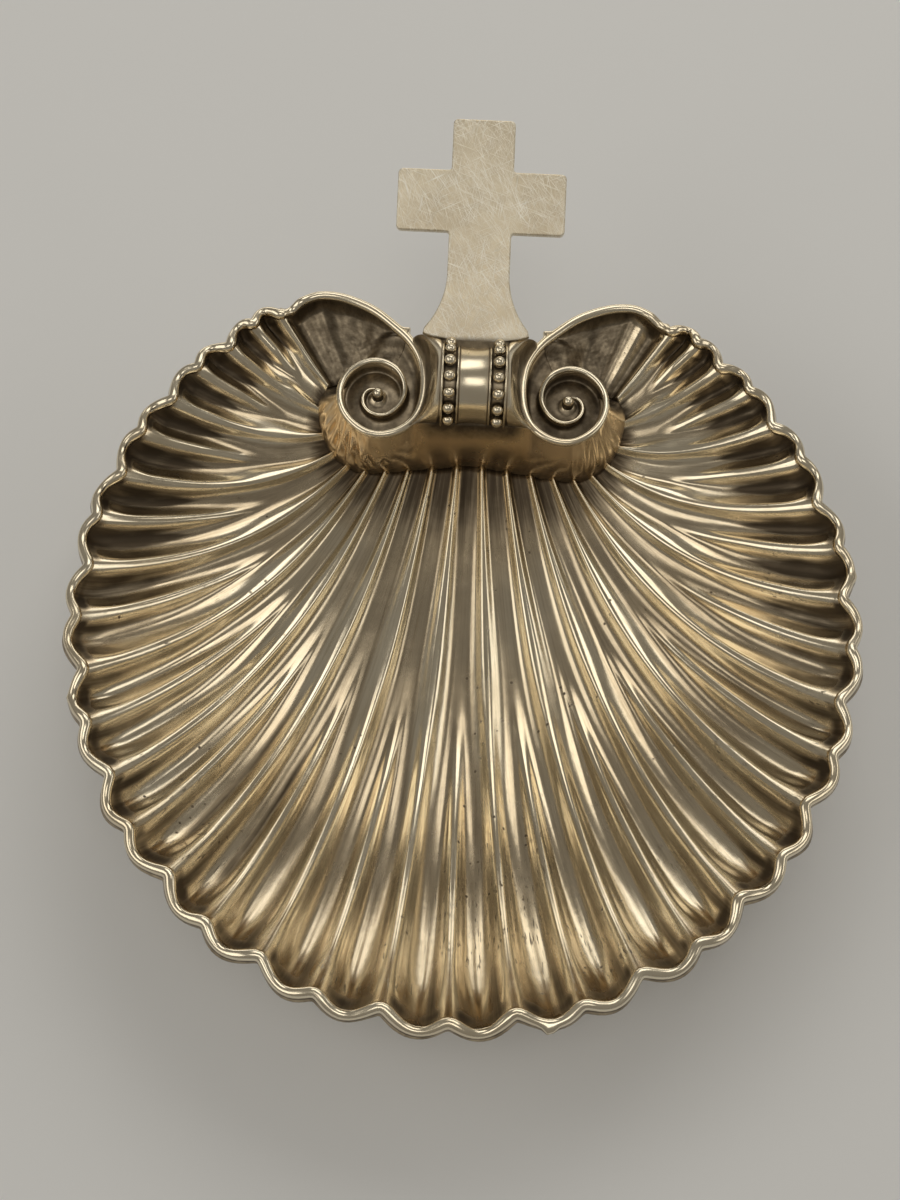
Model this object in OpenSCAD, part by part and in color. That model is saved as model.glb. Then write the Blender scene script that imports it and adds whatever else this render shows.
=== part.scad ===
// Baptismal shell: a fluted scallop dish with a rolled rim, scrolled hinge,
// beaded spool and a flat cross handle, standing on three turned feet.
// Units are millimetres. X is across the shell, Y runs from the front lip to the cross, Z is up.

/* [Shell bowl] */
// Distance from the deepest point of the bowl to the front notches
bowl_front_r = 48.6; // [45:0.2:52]
// How much further the bowl reaches on the hinge side
bowl_back_gain = 23; // [20:0.5:26]
// Depth of the bowl below its rim
bowl_depth = 20.5; // [18:0.5:23]
// Thickness of the bowl sheet
sheet_t = 1.2; // [1:0.1:1.6]
// Depth of the flutes where they are deepest
flute_depth = 2.6; // [1.8:0.1:3]
// Rise of the two ears above the front of the rim
ear_lift = 2.5; // [1.5:0.1:3.5]

/* [Rolled rim] */
// Diameter of the rolled rim
rim_d = 2; // [1.6:0.1:2.2]
// Height of the rolled rim along the bowl
rim_h = 2.8; // [2:0.1:3]
// Outward swell of each lobe of the rim
lobe_h = 1.9; // [1.4:0.1:2.2]

/* [Hinge] */
// Distance of each scroll from the middle
scroll_x = 14.9; // [14.5:0.1:15.4]
// Outer radius of the scroll ring
scroll_r = 7.4; // [7:0.1:7.6]
// Depth of the channel pressed into each scroll
scroll_relief = 1.7; // [1:0.1:1.9]
// Radius of the eye in the middle of each scroll
eye_r = 0.9; // [0.7:0.05:1.1]
// Thickness of the apron wall
apron_t = 1.2; // [0.9:0.1:1.5]

/* [Spool] */
// Waist radius of the spool between the scrolls
spool_r = 5.8; // [5.4:0.1:6]
// Diameter of one pearl
pearl_d = 1.75; // [1.5:0.05:1.9]
// Number of pearls that would fill a whole turn of the band
pearl_n = 16; // [14:1:17]

/* [Cross handle] */
// Span of the arms
cross_w = 26.2; // [22:0.5:32]
// Height of the cross from its foot
cross_h = 33.2; // [30:0.2:42]
// Width of the stem and the arms
cross_bar = 9.7; // [8:0.1:11]
// Width of the flared foot
cross_foot_w = 16.6; // [14:0.2:17.4]
// Thickness of the plate
cross_t = 1.4; // [1:0.1:2]
// Upward tilt of the plate
cross_tilt = 25; // [15:1:35]

/* [Feet] */
// Diameter of the ball of each foot
foot_d = 6.4; // [5.5:0.1:7]
// Height of the front foot
foot_h = 6; // [5.5:0.1:8]

/* [Hidden] */
$fn = 48;
silver = [0.80, 0.77, 0.70];
gilt = [0.74, 0.62, 0.42];
gap = 0.15;
seat_gap = 0.3;
wire_r = rim_d / 2;

// Deepest point of the bowl and the fan of ridges
deep_y = -10;
fan_end = 19;
ear_end = 25;
ear_from = 39;
ear_to = 112;
ear_floor = 2.4;
// The ears' sheet ends square to the rim, so its root stops short by this angle
ear_seam = 2.6;
fan_first = 10.45;
fan_third = 0.0066;
dish_power = 1.9;
flute_bow = 3;

// Umbo outline where the ridges start
umbo_w = 24.6 * scroll_x / 14.9;
umbo_y = 34.8;
scroll_y = 38.4;
plane_tilt = 0.092;

// Spool and its place above the rim
spool_y = scroll_y + 0.6;
spool_z = 3.5;
core_r = spool_r - 1.1;
band_in = 2.3;
band_out = 5.2;
flare_x = scroll_x - scroll_r - 0.35 - 1.5 * wire_r - seat_gap;
flare_r = spool_r + 1.3;
pearl_ring = spool_r - 0.1 + pearl_d / 2 + gap;

function sq(v) = v * v;
function unit2(v) = v / max(norm(v), 1e-6);
function smooth(v) = let (c = min(max(v, 0), 1)) c * c * (3 - 2 * c);

// Line of the ears' rim and of the scroll: angle about the scroll centre, distance beyond scroll_r
volute = [[39, 14.5], [59, 12.8], [80, 8.6], [97, 5.4], [112, 3.8], [135, 2.2], [158, 1], [185, 0.3],
    [230, 0], [270, -0.3], [305, -1], [345, -1.4], [400, -1.45], [440, -1.5], [475, -2.1], [511, -2.8],
    [560, -3.7], [650, -4.3], [740, -4.9], [830, -5.6], [900, -6.2]];
// Half-width of the roll along that line, in rim radii: a broad crescent by the spool, then a thin ring
swell = [[112, 1], [140, 1.3], [165, 1.5], [190, 1.35], [215, 0.9], [250, 0.68], [320, 0.56], [420, 0.48],
    [511, 0.28]];

// Smooth curve through a list of such knots
function slope(k, i) =
    let (a = k[max(i - 1, 0)], b = k[min(i + 1, len(k) - 1)])
    (b[1] - a[1]) / (b[0] - a[0]);
function through(k, f) =
    let (i = max([for (j = [0 : len(k) - 2]) k[j][0] <= f ? j : 0]), a = k[i], b = k[i + 1], w = b[0] - a[0])
    let (u = min(max((f - a[0]) / w, 0), 1))
    a[1] * sq(1 - u) * (1 + 2 * u) + b[1] * sq(u) * (3 - 2 * u)
        + slope(k, i) * w * u * sq(1 - u) - slope(k, i + 1) * w * sq(u) * (1 - u);
function spiral_r(f) = scroll_r + through(volute, f);
function plane_z(y) = ear_lift * 0.08 + plane_tilt * (y - 30) * ear_lift / 2.5;
function about_scroll(f, r) = [scroll_x + r * cos(f), scroll_y + r * sin(f)];

// Plan of the rim for ridge number a on the right-hand side
function reach(d) = bowl_front_r + bowl_back_gain * sq((1 - cos(d)) / 2);
function fan_angle(a) = fan_first * a - fan_third * a * a * a;
function lobe(a) = lobe_h * pow(abs(sin(180 * a)), 0.8) + 0.9 * sq(cos(90 * a));
function ear_angle(a) = ear_from + (ear_to - ear_from) * (a - fan_end) / (ear_end - fan_end);
function fan_rim(a) =
    let (d = fan_angle(a), r = reach(d) + lobe(a))
    [r * sin(d), deep_y - r * cos(d)];
function ear_rim(a) =
    let (k = smooth((a - fan_end) / 2))
    let (e = about_scroll(ear_angle(a), spiral_r(ear_angle(a))))
    e + (fan_rim(fan_end) - about_scroll(ear_from, spiral_r(ear_from))) * (1 - k);
function rim_half(a) = a <= fan_end ? fan_rim(a) : ear_rim(a);

// Plan of the umbo edge, where ridge number a starts
function fan_root(a) =
    [umbo_w * sin(4.65 * a + 0.0009 * a * a * a), umbo_y - 0.3 * a + 0.125 * sq(max(a - 8, 0))];
function ear_root(a) =
    let (v = fan_root(fan_end) - [scroll_x, scroll_y], k = (ear_end - a) / (ear_end - fan_end))
    let (f0 = atan2(v[1], v[0]), f = f0 + (ear_to - ear_seam - f0) * (1 - k))
    about_scroll(f, scroll_r + 0.3 + (norm(v) - scroll_r - 0.3) * pow(k, 1.5));
function root_half(a) = a <= fan_end ? fan_root(a) : ear_root(a);

function mirror_x(p, s) = s < 0 ? [-p[0], p[1]] : p;
function rim_xy(s) = mirror_x(rim_half(abs(s)), s);
function root_xy(s) = mirror_x(root_half(abs(s)), s);

// Height of the smooth bowl that the ridge tops lie on
function lift(y) = ear_lift * sq(max(y - 15, 0) / 40);
function rim_z(s) =
    let (a = abs(s), p = rim_half(a))
    a <= fan_end ? lift(p[1])
        : let (k = smooth((a - fan_end) / 3)) lift(p[1]) * (1 - k) + plane_z(p[1]) * k;
function dish_z(p) =
    let (q = p - [0, deep_y], d = atan2(abs(q[0]), -q[1]))
    lift(p[1]) - bowl_depth * (1 - pow(norm(q) / reach(d), dish_power));

// Ridge path from the umbo to the sheet's edge just inside the rolled rim
function next_rim(s, d) = rim_xy(s + d * (abs(s + d / 8) > fan_end ? 1 / 2 : 1 / 4));
function edge_xy(s) =
    let (p = rim_xy(s), a = unit2(p - next_rim(s, -1)), b = unit2(next_rim(s, 1) - next_rim(s, -1)))
    p + [-b[1], b[0]] * (wire_r + gap) / max(a * b, 0.75);
function path_xy(s, t) =
    let (q = root_xy(s), r = edge_xy(s), m = (q + r) / 2)
    let (w = sin(180 * min(abs(s), fan_end) / fan_end))
    let (c = m + unit2([0, deep_y] - m) * 2 * flute_bow * w)
    q * sq(1 - t) + c * 2 * t * (1 - t) + r * sq(t);

// Cross-section of the flutes: zero on a ridge, one in a channel
function groove(v) = (sqrt(sq(sin(180 * v)) + 0.03) - 0.173) / 0.842;
function flute(s, t) =
    let (a = abs(s), b = 0.85 * smooth((t - 0.35) / 0.4))
    a <= fan_end ? groove((a - 1) / 2) * (1 - b) + groove(a) * b
        : 1.3 * groove((a - fan_end) / (ear_end - fan_end));
function scoop(t) = t < 0.86 ? 1 : sqrt(max(1 - sq((t - 0.86) / 0.14), 0));
function flute_amp(t) = flute_depth * (0.42 + 0.58 * pow(t, 1.3)) * scoop(t);
// The ears' floors rise towards the scrolls, where they run into the wound channel
function ear_rise(s) = smooth((abs(s) - fan_end - 1) / (ear_end - fan_end - 1));
function base_z(s, p) = let (k = ear_rise(s)) dish_z(p) * (1 - k) + (plane_z(p[1]) - ear_floor) * k;
function root_z(s) = base_z(s, root_xy(s));
function bowl_top(s, t) =
    let (p = path_xy(s, t), e = edge_xy(s))
    let (z = base_z(s, p) + (rim_z(s) - base_z(s, e)) * t * t * t)
    [p[0], p[1], z - flute_amp(t) * flute(s, t) * (1 - 0.7 * ear_rise(s))];
function bowl_low(s, t) = bowl_top(s, t) - [0, 0, sheet_t * (1.02 + 0.22 * t)];

// Columns and rows of the bowl mesh
ear_cols = [for (k = [1 : 12]) fan_end + k / 2];
fan_cols = [for (k = [-4 * fan_end : 4 * fan_end]) k / 4];
cols = concat([for (k = [11 : -1 : 0]) -ear_cols[k]], fan_cols, ear_cols);
rows = [0, 0.12, 0.26, 0.4, 0.52, 0.64, 0.75, 0.85, 0.92, 0.97, 1];
nc = len(cols);
nr = len(rows);

// Feet under the channels of the bowl
foot_r = foot_d / 2;
foot_drop = 1;
front_seat = bowl_low(0, 0.66);
rear_seat = bowl_low(6, 0.22);
floor_z = front_seat[2] - foot_drop - foot_h;

// The frame sits on the floor in the middle of the whole part
cross_sag = 1.5;
cross_seat = flare_r + seat_gap - cross_sag * sq(2 * flare_x / cross_foot_w);
cross_y = spool_y + cross_seat * cos(28) + cross_sag * cos(cross_tilt);
cross_z = spool_z + cross_seat * sin(28) + cross_sag * sin(cross_tilt);
y_back = cross_y + cross_h * cos(cross_tilt);
y_front = min([for (k = [-8 : 8]) fan_rim(abs(k / 4))[1]]) - wire_r;
y_mid = (y_back + y_front) / 2;

module place() {
    translate([0, -y_mid, -floor_z])
        children();
}

// A closed sheet from two grids of points with the same layout
module sheet(top, low, n, m) {
    k = n * m;
    pts = concat(top, low);
    faces = concat(
        [for (i = [0 : n - 2], j = [0 : m - 2]) [i * m + j, i * m + j + 1, i * m + m + j + 1]],
        [for (i = [0 : n - 2], j = [0 : m - 2]) [i * m + j, i * m + m + j + 1, i * m + m + j]],
        [for (i = [0 : n - 2], j = [0 : m - 2]) [k + i * m + j, k + i * m + m + j + 1, k + i * m + j + 1]],
        [for (i = [0 : n - 2], j = [0 : m - 2]) [k + i * m + j, k + i * m + m + j, k + i * m + m + j + 1]],
        [for (i = [0 : n - 2]) [i * m, i * m + m, k + i * m + m]],
        [for (i = [0 : n - 2]) [i * m, k + i * m + m, k + i * m]],
        [for (i = [0 : n - 2]) [i * m + m - 1, k + i * m + 2 * m - 1, i * m + 2 * m - 1]],
        [for (i = [0 : n - 2]) [i * m + m - 1, k + i * m + m - 1, k + i * m + 2 * m - 1]],
        [for (j = [0 : m - 2]) [j, k + j + 1, j + 1]],
        [for (j = [0 : m - 2]) [j, k + j, k + j + 1]],
        [for (j = [0 : m - 2]) [k - m + j, k - m + j + 1, 2 * k - m + j + 1]],
        [for (j = [0 : m - 2]) [k - m + j, 2 * k - m + j + 1, 2 * k - m + j]]);
    polyhedron(points = pts, faces = faces, convexity = 10);
}

module shell_bowl() {
    color(silver)
        place()
            sheet([for (s = cols) for (t = rows) bowl_top(s, t)],
                [for (s = cols) for (t = rows) bowl_low(s, t)], nc, nr);
}

// Rolled rim: along the bowl and the ears, then round each scroll and fading towards its eye
function roll_r(f) = wire_r * through(swell, f);
function roll_h(f) = min(roll_r(f), wire_r * 1.05);
curl_step = 9;
curl_n = 44;
function curl_angle(k) = ear_to + curl_step * k;
function curl_pt(k) =
    let (f = curl_angle(k), p = about_scroll(f, spiral_r(f)))
    [p[0], p[1], plane_z(p[1]) + 0.4 * smooth((f - 380) / 120), roll_r(f), roll_h(f)];
// Along the bowl the roll is taller than it is wide, and its top stays level with the ears' roll
function rim_pt(s) =
    let (p = rim_xy(s), h = wire_r + (rim_h / 2 - wire_r) * (1 - smooth((abs(s) - fan_end + 1) / 3)))
    [p[0], p[1], rim_z(s) - (h - wire_r) - 0.3 * (1 - smooth((abs(s) - fan_end) / 1.5)), wire_r, h];
rim_line = concat(
    [for (k = [curl_n : -1 : 1]) let (p = curl_pt(k)) [-p[0], p[1], p[2], p[3], p[4]]],
    [for (s = cols) rim_pt(s)],
    [for (k = [1 : curl_n]) curl_pt(k)]);
rim_n = len(rim_line);
rim_sides = 6;
function rim_at(i) = rim_line[min(max(i, 0), rim_n - 1)];
function xy(p) = [p[0], p[1]];
function rim_dir(i) = unit2(xy(rim_at(i + 1)) - xy(rim_at(i - 1)));
function rim_mitre(i) =
    let (a = unit2(xy(rim_at(i)) - xy(rim_at(i - 1))), b = rim_dir(i))
    i == 0 || i == rim_n - 1 ? 1 : 1 / max(a * b, 0.75);
function rim_ring(i) =
    let (p = rim_at(i), d = rim_dir(i), n = [d[1], -d[0]], m = rim_mitre(i))
    [for (k = [0 : rim_sides - 1])
        let (f = 360 * (k + 0.5) / rim_sides)
        [p[0] + n[0] * p[3] * m * cos(f), p[1] + n[1] * p[3] * m * cos(f), p[2] + p[4] * sin(f)]];

module rim_roll() {
    pts = [for (i = [0 : rim_n - 1]) each rim_ring(i)];
    n = rim_sides;
    faces = concat(
        [for (i = [0 : rim_n - 2], k = [0 : n - 1]) [i * n + k, i * n + (k + 1) % n, i * n + n + (k + 1) % n]],
        [for (i = [0 : rim_n - 2], k = [0 : n - 1]) [i * n + k, i * n + n + (k + 1) % n, i * n + n + k]],
        [[for (k = [n - 1 : -1 : 0]) k]],
        [[for (k = [0 : n - 1]) (rim_n - 1) * n + k]]);
    color(silver)
        place()
            polyhedron(points = pts, faces = faces, convexity = 10);
}

// Scroll: a disc whose face is a channel winding in towards the eye, with a spigot below
turn_n = 40;
strip_n = 4;
scroll_n = 84;
function scroll_angle(i) = ear_to - ear_seam * 0.4 + 360 * i / turn_n;
function seat_z(i) =
    let (f = scroll_angle(i), rise = 0.4 * smooth((f - 380) / 120) + 0.5 * smooth((f - 520) / 340))
    plane_z(about_scroll(f, spiral_r(f))[1]) + rise - (roll_h(f) + gap) * 1.03;
function scroll_pt(i, j) =
    let (v = j / strip_n, f = scroll_angle(i), f2 = scroll_angle(i + turn_n))
    let (r = spiral_r(f) * (1 - v) + spiral_r(f2) * v, p = about_scroll(f, r))
    let (deep = scroll_relief * (0.35 + 0.65 * smooth((44 - i) / 40)))
    let (z = seat_z(i) * (1 - v) + seat_z(i + turn_n) * v)
    [p[0], p[1], z - deep * sin(180 * v)];
scroll_open = scroll_n - turn_n;
scroll_shelf = -2.9;
scroll_base = -4.4;
hub_z = 0.5;
function scroll_id(i, j) = i * strip_n + j;
function scroll_in(i) = i >= scroll_open ? scroll_open * strip_n + i - scroll_open : scroll_id(i, 0);
function toward(p, d) =
    let (v = xy(p) - [scroll_x, scroll_y])
    [scroll_x, scroll_y] + unit2(v) * max(norm(v) - d, 0.5);

module scroll_right() {
    grid = [for (i = [0 : scroll_open - 1]) for (j = [0 : strip_n - 1]) scroll_pt(i, j)];
    inner = [for (i = [scroll_open : scroll_n]) scroll_pt(i, 0)];
    hub = [[scroll_x, scroll_y, plane_z(scroll_y) + hub_z]];
    loop = concat([for (i = [0 : turn_n]) scroll_pt(i, 0)],
        [for (j = [strip_n - 1 : -1 : 1]) scroll_pt(0, j)]);
    loop_id = concat([for (i = [0 : turn_n]) scroll_in(i)],
        [for (j = [strip_n - 1 : -1 : 1]) scroll_id(0, j)]);
    ln = len(loop);
    shelf = [for (p = loop) [p[0], p[1], plane_z(p[1]) + scroll_shelf]];
    step = [for (p = loop) let (q = toward(p, apron_t + 0.5)) [q[0], q[1], plane_z(q[1]) + scroll_shelf]];
    base = [for (p = loop) let (q = toward(p, apron_t + 0.5)) [q[0], q[1], plane_z(q[1]) + scroll_base]];
    foot = [[scroll_x, scroll_y, plane_z(scroll_y) + scroll_base]];
    o_hub = len(grid) + len(inner);
    o_shelf = o_hub + 1;
    o_step = o_shelf + ln;
    o_base = o_step + ln;
    o_foot = o_base + ln;
    // A strip point's inner neighbour is the same ridge one turn further in
    function id(i, j) = j == strip_n ? scroll_in(i + turn_n) : (i >= scroll_open && j == 0) ? scroll_in(i)
        : scroll_id(i, j);
    last = scroll_open - 1;
    mouth = concat([for (i = [last : last + turn_n]) id(i, 0)],
        [for (j = [strip_n - 1 : -1 : 1]) id(last, j)]);
    mn = len(mouth);
    faces = concat(
        [for (i = [0 : last - 1], j = [0 : strip_n - 1]) [id(i, j), id(i + 1, j), id(i + 1, j + 1)]],
        [for (i = [0 : last - 1], j = [0 : strip_n - 1]) [id(i, j), id(i + 1, j + 1), id(i, j + 1)]],
        [for (k = [0 : mn - 1]) [o_hub, mouth[k], mouth[(k + 1) % mn]]],
        [for (k = [0 : ln - 1]) [loop_id[k], o_shelf + k, o_shelf + (k + 1) % ln]],
        [for (k = [0 : ln - 1]) [loop_id[k], o_shelf + (k + 1) % ln, loop_id[(k + 1) % ln]]],
        [for (k = [0 : ln - 1]) [o_shelf + k, o_step + k, o_step + (k + 1) % ln]],
        [for (k = [0 : ln - 1]) [o_shelf + k, o_step + (k + 1) % ln, o_shelf + (k + 1) % ln]],
        [for (k = [0 : ln - 1]) [o_step + k, o_base + k, o_base + (k + 1) % ln]],
        [for (k = [0 : ln - 1]) [o_step + k, o_base + (k + 1) % ln, o_step + (k + 1) % ln]],
        [for (k = [0 : ln - 1]) [o_foot, o_base + (k + 1) % ln, o_base + k]]);
    polyhedron(points = concat(grid, inner, hub, shelf, step, base, foot),
        faces = [for (f = faces) [f[0], f[2], f[1]]], convexity = 10);
}

module right_scroll() {
    color(silver)
        place()
            scroll_right();
}

module left_scroll() {
    color(silver)
        place()
            mirror([1, 0, 0])
                scroll_right();
}

// Eye: a small dome on the middle of the scroll
module eye_right() {
    translate([scroll_x, scroll_y, plane_z(scroll_y) + hub_z + gap])
        intersection() {
            sphere(r = eye_r);
            translate([-5, -5, 0])
                cube([10, 10, 5]);
        }
}

module right_eye() {
    color(silver)
        place()
            eye_right();
}

module left_eye() {
    color(silver)
        place()
            mirror([1, 0, 0])
                eye_right();
}

// Spool between the scrolls: a waisted body on a core that carries both collars
module along_x() {
    place()
        translate([0, spool_y, spool_z])
            rotate([0, 90, 0])
                children();
}

module spool() {
    waist_big = 16;
    color(silver)
        along_x()
            difference() {
                union() {
                    translate([0, 0, -flare_x])
                        cylinder(r = core_r, h = 2 * flare_x);
                    translate([0, 0, -band_in + 0.1])
                        cylinder(r = spool_r + 0.25, h = 2 * band_in - 0.2);
                }
                rotate_extrude($fn = 64)
                    translate([spool_r + waist_big, 0])
                        circle(r = waist_big, $fn = 96);
            }
}

// Collar: a ring with a bead channel, flaring out to meet the scroll
module collar() {
    lip = 0.45;
    seat = spool_r - 0.1;
    rotate_extrude($fn = 64)
        polygon([[core_r + 0.1, band_in], [spool_r + 0.45, band_in], [spool_r + 0.45, band_in + lip],
            [seat, band_in + lip], [seat, band_out - lip], [flare_r, band_out - lip],
            [flare_r, flare_x], [core_r + 0.1, flare_x]]);
}

module right_collar() {
    color(silver)
        along_x()
            collar();
}

module left_collar() {
    color(silver)
        along_x()
            mirror([0, 0, 1])
                collar();
}

module pearls() {
    // Only the part of the band that shows between the apron and the cross is beaded
    for (k = [0 : 6])
        rotate([0, 0, 180 - 360 / pearl_n * (k - 0.3)])
            translate([0, pearl_ring, (band_in + band_out) / 2])
                sphere(d = pearl_d, $fn = 24);
}

module right_pearls() {
    color(silver)
        along_x()
            pearls();
}

module left_pearls() {
    color(silver)
        along_x()
            mirror([0, 0, 1])
                pearls();
}

// Apron: the wall that closes the bowl under the scrolls
apron_y = spool_y - spool_r - 0.9;
apron_end = 22;
apron_cols = [for (k = [-2 * apron_end : 2 * apron_end]) k / 2];
apron_rows = [0, 0.35, 0.55, 0.78, 1];
function apron_top_xy(s) =
    let (a = abs(s), p = root_half(a))
    let (v = p - [scroll_x, scroll_y], f = atan2(v[1], v[0]))
    let (ring = about_scroll(f, spiral_r(f > 140 ? f : f + 360) - 0.05))
    let (k = smooth((p[0] - 9) / 4))
    mirror_x([p[0] * 0.95, apron_y] * (1 - k) + ring * k, s);
function apron_foot_xy(s) =
    let (p = root_half(abs(s)), c = [scroll_x * smooth((p[0] - 6) / 8), scroll_y + 4])
    mirror_x(p + unit2(c - p) * seat_gap, s);
function apron_top_z(s) =
    let (a = abs(s), x = root_half(a)[0], y = apron_top_xy(s)[1])
    plane_z(y) - 0.2 + (scroll_shelf - gap + 0.2) * smooth((x - 3.2) / 3.2);
function apron_out(s, h) =
    let (p = apron_top_xy(s), q = apron_foot_xy(s), g = root_xy(s))
    let (z1 = apron_top_z(s), zm = root_z(s) + 0.3, z0 = zm - 0.45 * flute_depth - sheet_t - 1)
    let (k = max(h - 0.35, 0) / 0.65, w = q * (1 - k) + p * k)
    [w[0], w[1], h < 0.35 ? z0 + (zm - z0) * h / 0.35 : zm + (z1 - zm) * k];
function apron_in(s, h) =
    let (p = apron_out(s, h), c = mirror_x([scroll_x * smooth((abs(p[0]) - 4) / 8), scroll_y + 4], s))
    let (w = xy(p) + unit2(c - xy(p)) * apron_t)
    [w[0], w[1], p[2]];

module apron() {
    n = len(apron_cols);
    m = len(apron_rows);
    color(gilt)
        place()
            sheet([for (s = apron_cols) for (h = apron_rows) apron_in(s, h)],
                [for (s = apron_cols) for (h = apron_rows) apron_out(s, h)], n, m);
}

// Umbo plate: the curved sheet that closes the hinge from below
umbo_rings = [0.25, 0.5, 0.75, 1];
function umbo_edge(s) =
    let (a = abs(s), p = root_half(a), c = [scroll_x * smooth((p[0] - 6) / 8), scroll_y + 4])
    let (d = a > apron_end ? seat_gap + 0.2 : 2 * seat_gap + apron_t)
    mirror_x(p + unit2(c - p) * d, s);
umbo_back = umbo_edge(ear_end);
umbo_loop = concat(
    [for (s = [-ear_end : ear_end]) umbo_edge(s)],
    [for (k = [9 : -1 : -9])
        let (x = umbo_back[0] * k / 10)
        [x, umbo_back[1] + 4 * (1 - sq(k / 10))]]);
umbo_mid = [0, scroll_y + 2.8];
// Its edge lies below the bowl's roots and stays under the scrolls' spigots
function umbo_edge_z(i) =
    let (s = min(i - ear_end, ear_end), p = umbo_loop[i])
    min(root_z(s), plane_z(p[1]) - 3.2) - 2;
function umbo_pt(i, r, d) =
    let (p = umbo_mid * (1 - r) + umbo_loop[i] * r, k = sq(r))
    [p[0], p[1], (dish_z(umbo_mid) - 1) * (1 - k) + umbo_edge_z(i) * k - d];

module umbo_plate() {
    n = len(umbo_loop);
    m = len(umbo_rings);
    k = n * m;
    top = [for (i = [0 : n - 1]) for (r = umbo_rings) umbo_pt(i, r, 0)];
    low = [for (i = [0 : n - 1]) for (r = umbo_rings) umbo_pt(i, r, sheet_t)];
    mid = [umbo_pt(0, 0, 0), umbo_pt(0, 0, sheet_t)];
    function nx(i) = (i + 1) % n;
    faces = concat(
        [for (i = [0 : n - 1], j = [0 : m - 2]) [i * m + j, nx(i) * m + j + 1, i * m + j + 1]],
        [for (i = [0 : n - 1], j = [0 : m - 2]) [i * m + j, nx(i) * m + j, nx(i) * m + j + 1]],
        [for (i = [0 : n - 1], j = [0 : m - 2]) [k + i * m + j, k + i * m + j + 1, k + nx(i) * m + j + 1]],
        [for (i = [0 : n - 1], j = [0 : m - 2]) [k + i * m + j, k + nx(i) * m + j + 1, k + nx(i) * m + j]],
        [for (i = [0 : n - 1]) [2 * k, nx(i) * m, i * m]],
        [for (i = [0 : n - 1]) [2 * k + 1, k + i * m, k + nx(i) * m]],
        [for (i = [0 : n - 1]) [i * m + m - 1, nx(i) * m + m - 1, k + nx(i) * m + m - 1]],
        [for (i = [0 : n - 1]) [i * m + m - 1, k + nx(i) * m + m - 1, k + i * m + m - 1]]);
    color(silver)
        place()
            polyhedron(points = concat(top, low, mid), faces = faces, convexity = 10);
}

// Cross handle: a flat plate with a flared foot bedded against the spool
module bar(w, h) {
    r = 0.5;
    translate([-w / 2 + r, 0])
        square([w - 2 * r, h]);
    translate([-w / 2, r])
        square([w, h - 2 * r]);
    for (x = [-1, 1], y = [r, h - r])
        translate([x * (w / 2 - r), y])
            circle(r = r, $fn = 24);
}

module cross_plan() {
    run = cross_h * 0.27;
    rise = (cross_foot_w - cross_bar) / 2;
    flare = (sq(run) + sq(rise)) / (2 * rise);
    arm_y = cross_h * 0.464;
    big = (sq(cross_foot_w / 2) + sq(cross_sag)) / (2 * cross_sag);
    difference() {
        intersection() {
            translate([0, big - cross_sag])
                circle(r = big, $fn = 240);
            translate([-cross_foot_w, -2 * cross_sag])
                square([2 * cross_foot_w, run + 2 * cross_sag]);
        }
        for (x = [-1, 1])
            translate([x * (cross_bar / 2 + flare), run])
                circle(r = flare, $fn = 120);
    }
    translate([-cross_bar / 2, 1])
        square([cross_bar, cross_h * 0.6]);
    translate([0, cross_h * 0.4])
        bar(cross_bar, cross_h * 0.6);
    translate([0, arm_y])
        bar(cross_w, cross_bar);
}

module cross_handle() {
    color(silver)
        place()
            translate([0, cross_y, cross_z])
                rotate([cross_tilt, 0, 0])
                    linear_extrude(height = cross_t)
                        cross_plan();
}

// Turned foot: a ball with a flat under it, a neck and a small pad below the bowl
module foot(seat) {
    ball_z = foot_r * 0.86;
    top = seat[2] - gap - floor_z;
    place()
        translate([seat[0], seat[1], floor_z])
            rotate_extrude($fn = 48)
                intersection() {
                    union() {
                        translate([0, ball_z])
                            circle(r = foot_r);
                        square([foot_r * 0.46, top]);
                    }
                    square([2 * foot_r, top]);
                }
}

module front_foot() {
    color(silver)
        foot([front_seat[0], front_seat[1], front_seat[2] - foot_drop]);
}

module right_foot() {
    color(silver)
        foot([rear_seat[0], rear_seat[1], rear_seat[2] - foot_drop]);
}

module left_foot() {
    color(silver)
        foot([-rear_seat[0], rear_seat[1], rear_seat[2] - foot_drop]);
}

shell_bowl();
rim_roll();
left_scroll();
right_scroll();
left_eye();
right_eye();
spool();
left_collar();
right_collar();
left_pearls();
right_pearls();
apron();
umbo_plate();
cross_handle();
front_foot();
left_foot();
right_foot();
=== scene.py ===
"""A baptismal shell: a fluted silver dish with scrolled ears, a beaded spool and a flat cross handle."""
import math

import bmesh
import bpy
import numpy as np
from mathutils import Matrix, Vector


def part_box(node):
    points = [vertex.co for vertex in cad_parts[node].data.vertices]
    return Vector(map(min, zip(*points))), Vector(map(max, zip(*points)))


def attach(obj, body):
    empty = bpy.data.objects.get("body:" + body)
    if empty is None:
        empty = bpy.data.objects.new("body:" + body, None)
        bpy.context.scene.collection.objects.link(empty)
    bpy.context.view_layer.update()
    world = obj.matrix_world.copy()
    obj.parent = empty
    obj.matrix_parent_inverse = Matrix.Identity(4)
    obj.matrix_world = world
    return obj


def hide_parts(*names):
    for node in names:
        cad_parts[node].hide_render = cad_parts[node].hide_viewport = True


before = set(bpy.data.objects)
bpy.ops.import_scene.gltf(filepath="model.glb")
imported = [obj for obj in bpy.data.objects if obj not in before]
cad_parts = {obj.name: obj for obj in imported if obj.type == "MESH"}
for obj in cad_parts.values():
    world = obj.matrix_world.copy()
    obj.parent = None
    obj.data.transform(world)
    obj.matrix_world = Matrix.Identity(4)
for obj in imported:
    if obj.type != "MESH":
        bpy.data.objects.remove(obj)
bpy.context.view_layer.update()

# Driving sizes of the shell in millimetres and degrees, as in the solid model
FRONT_R = 48.6  # from the deepest point of the bowl to the front notches
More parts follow.
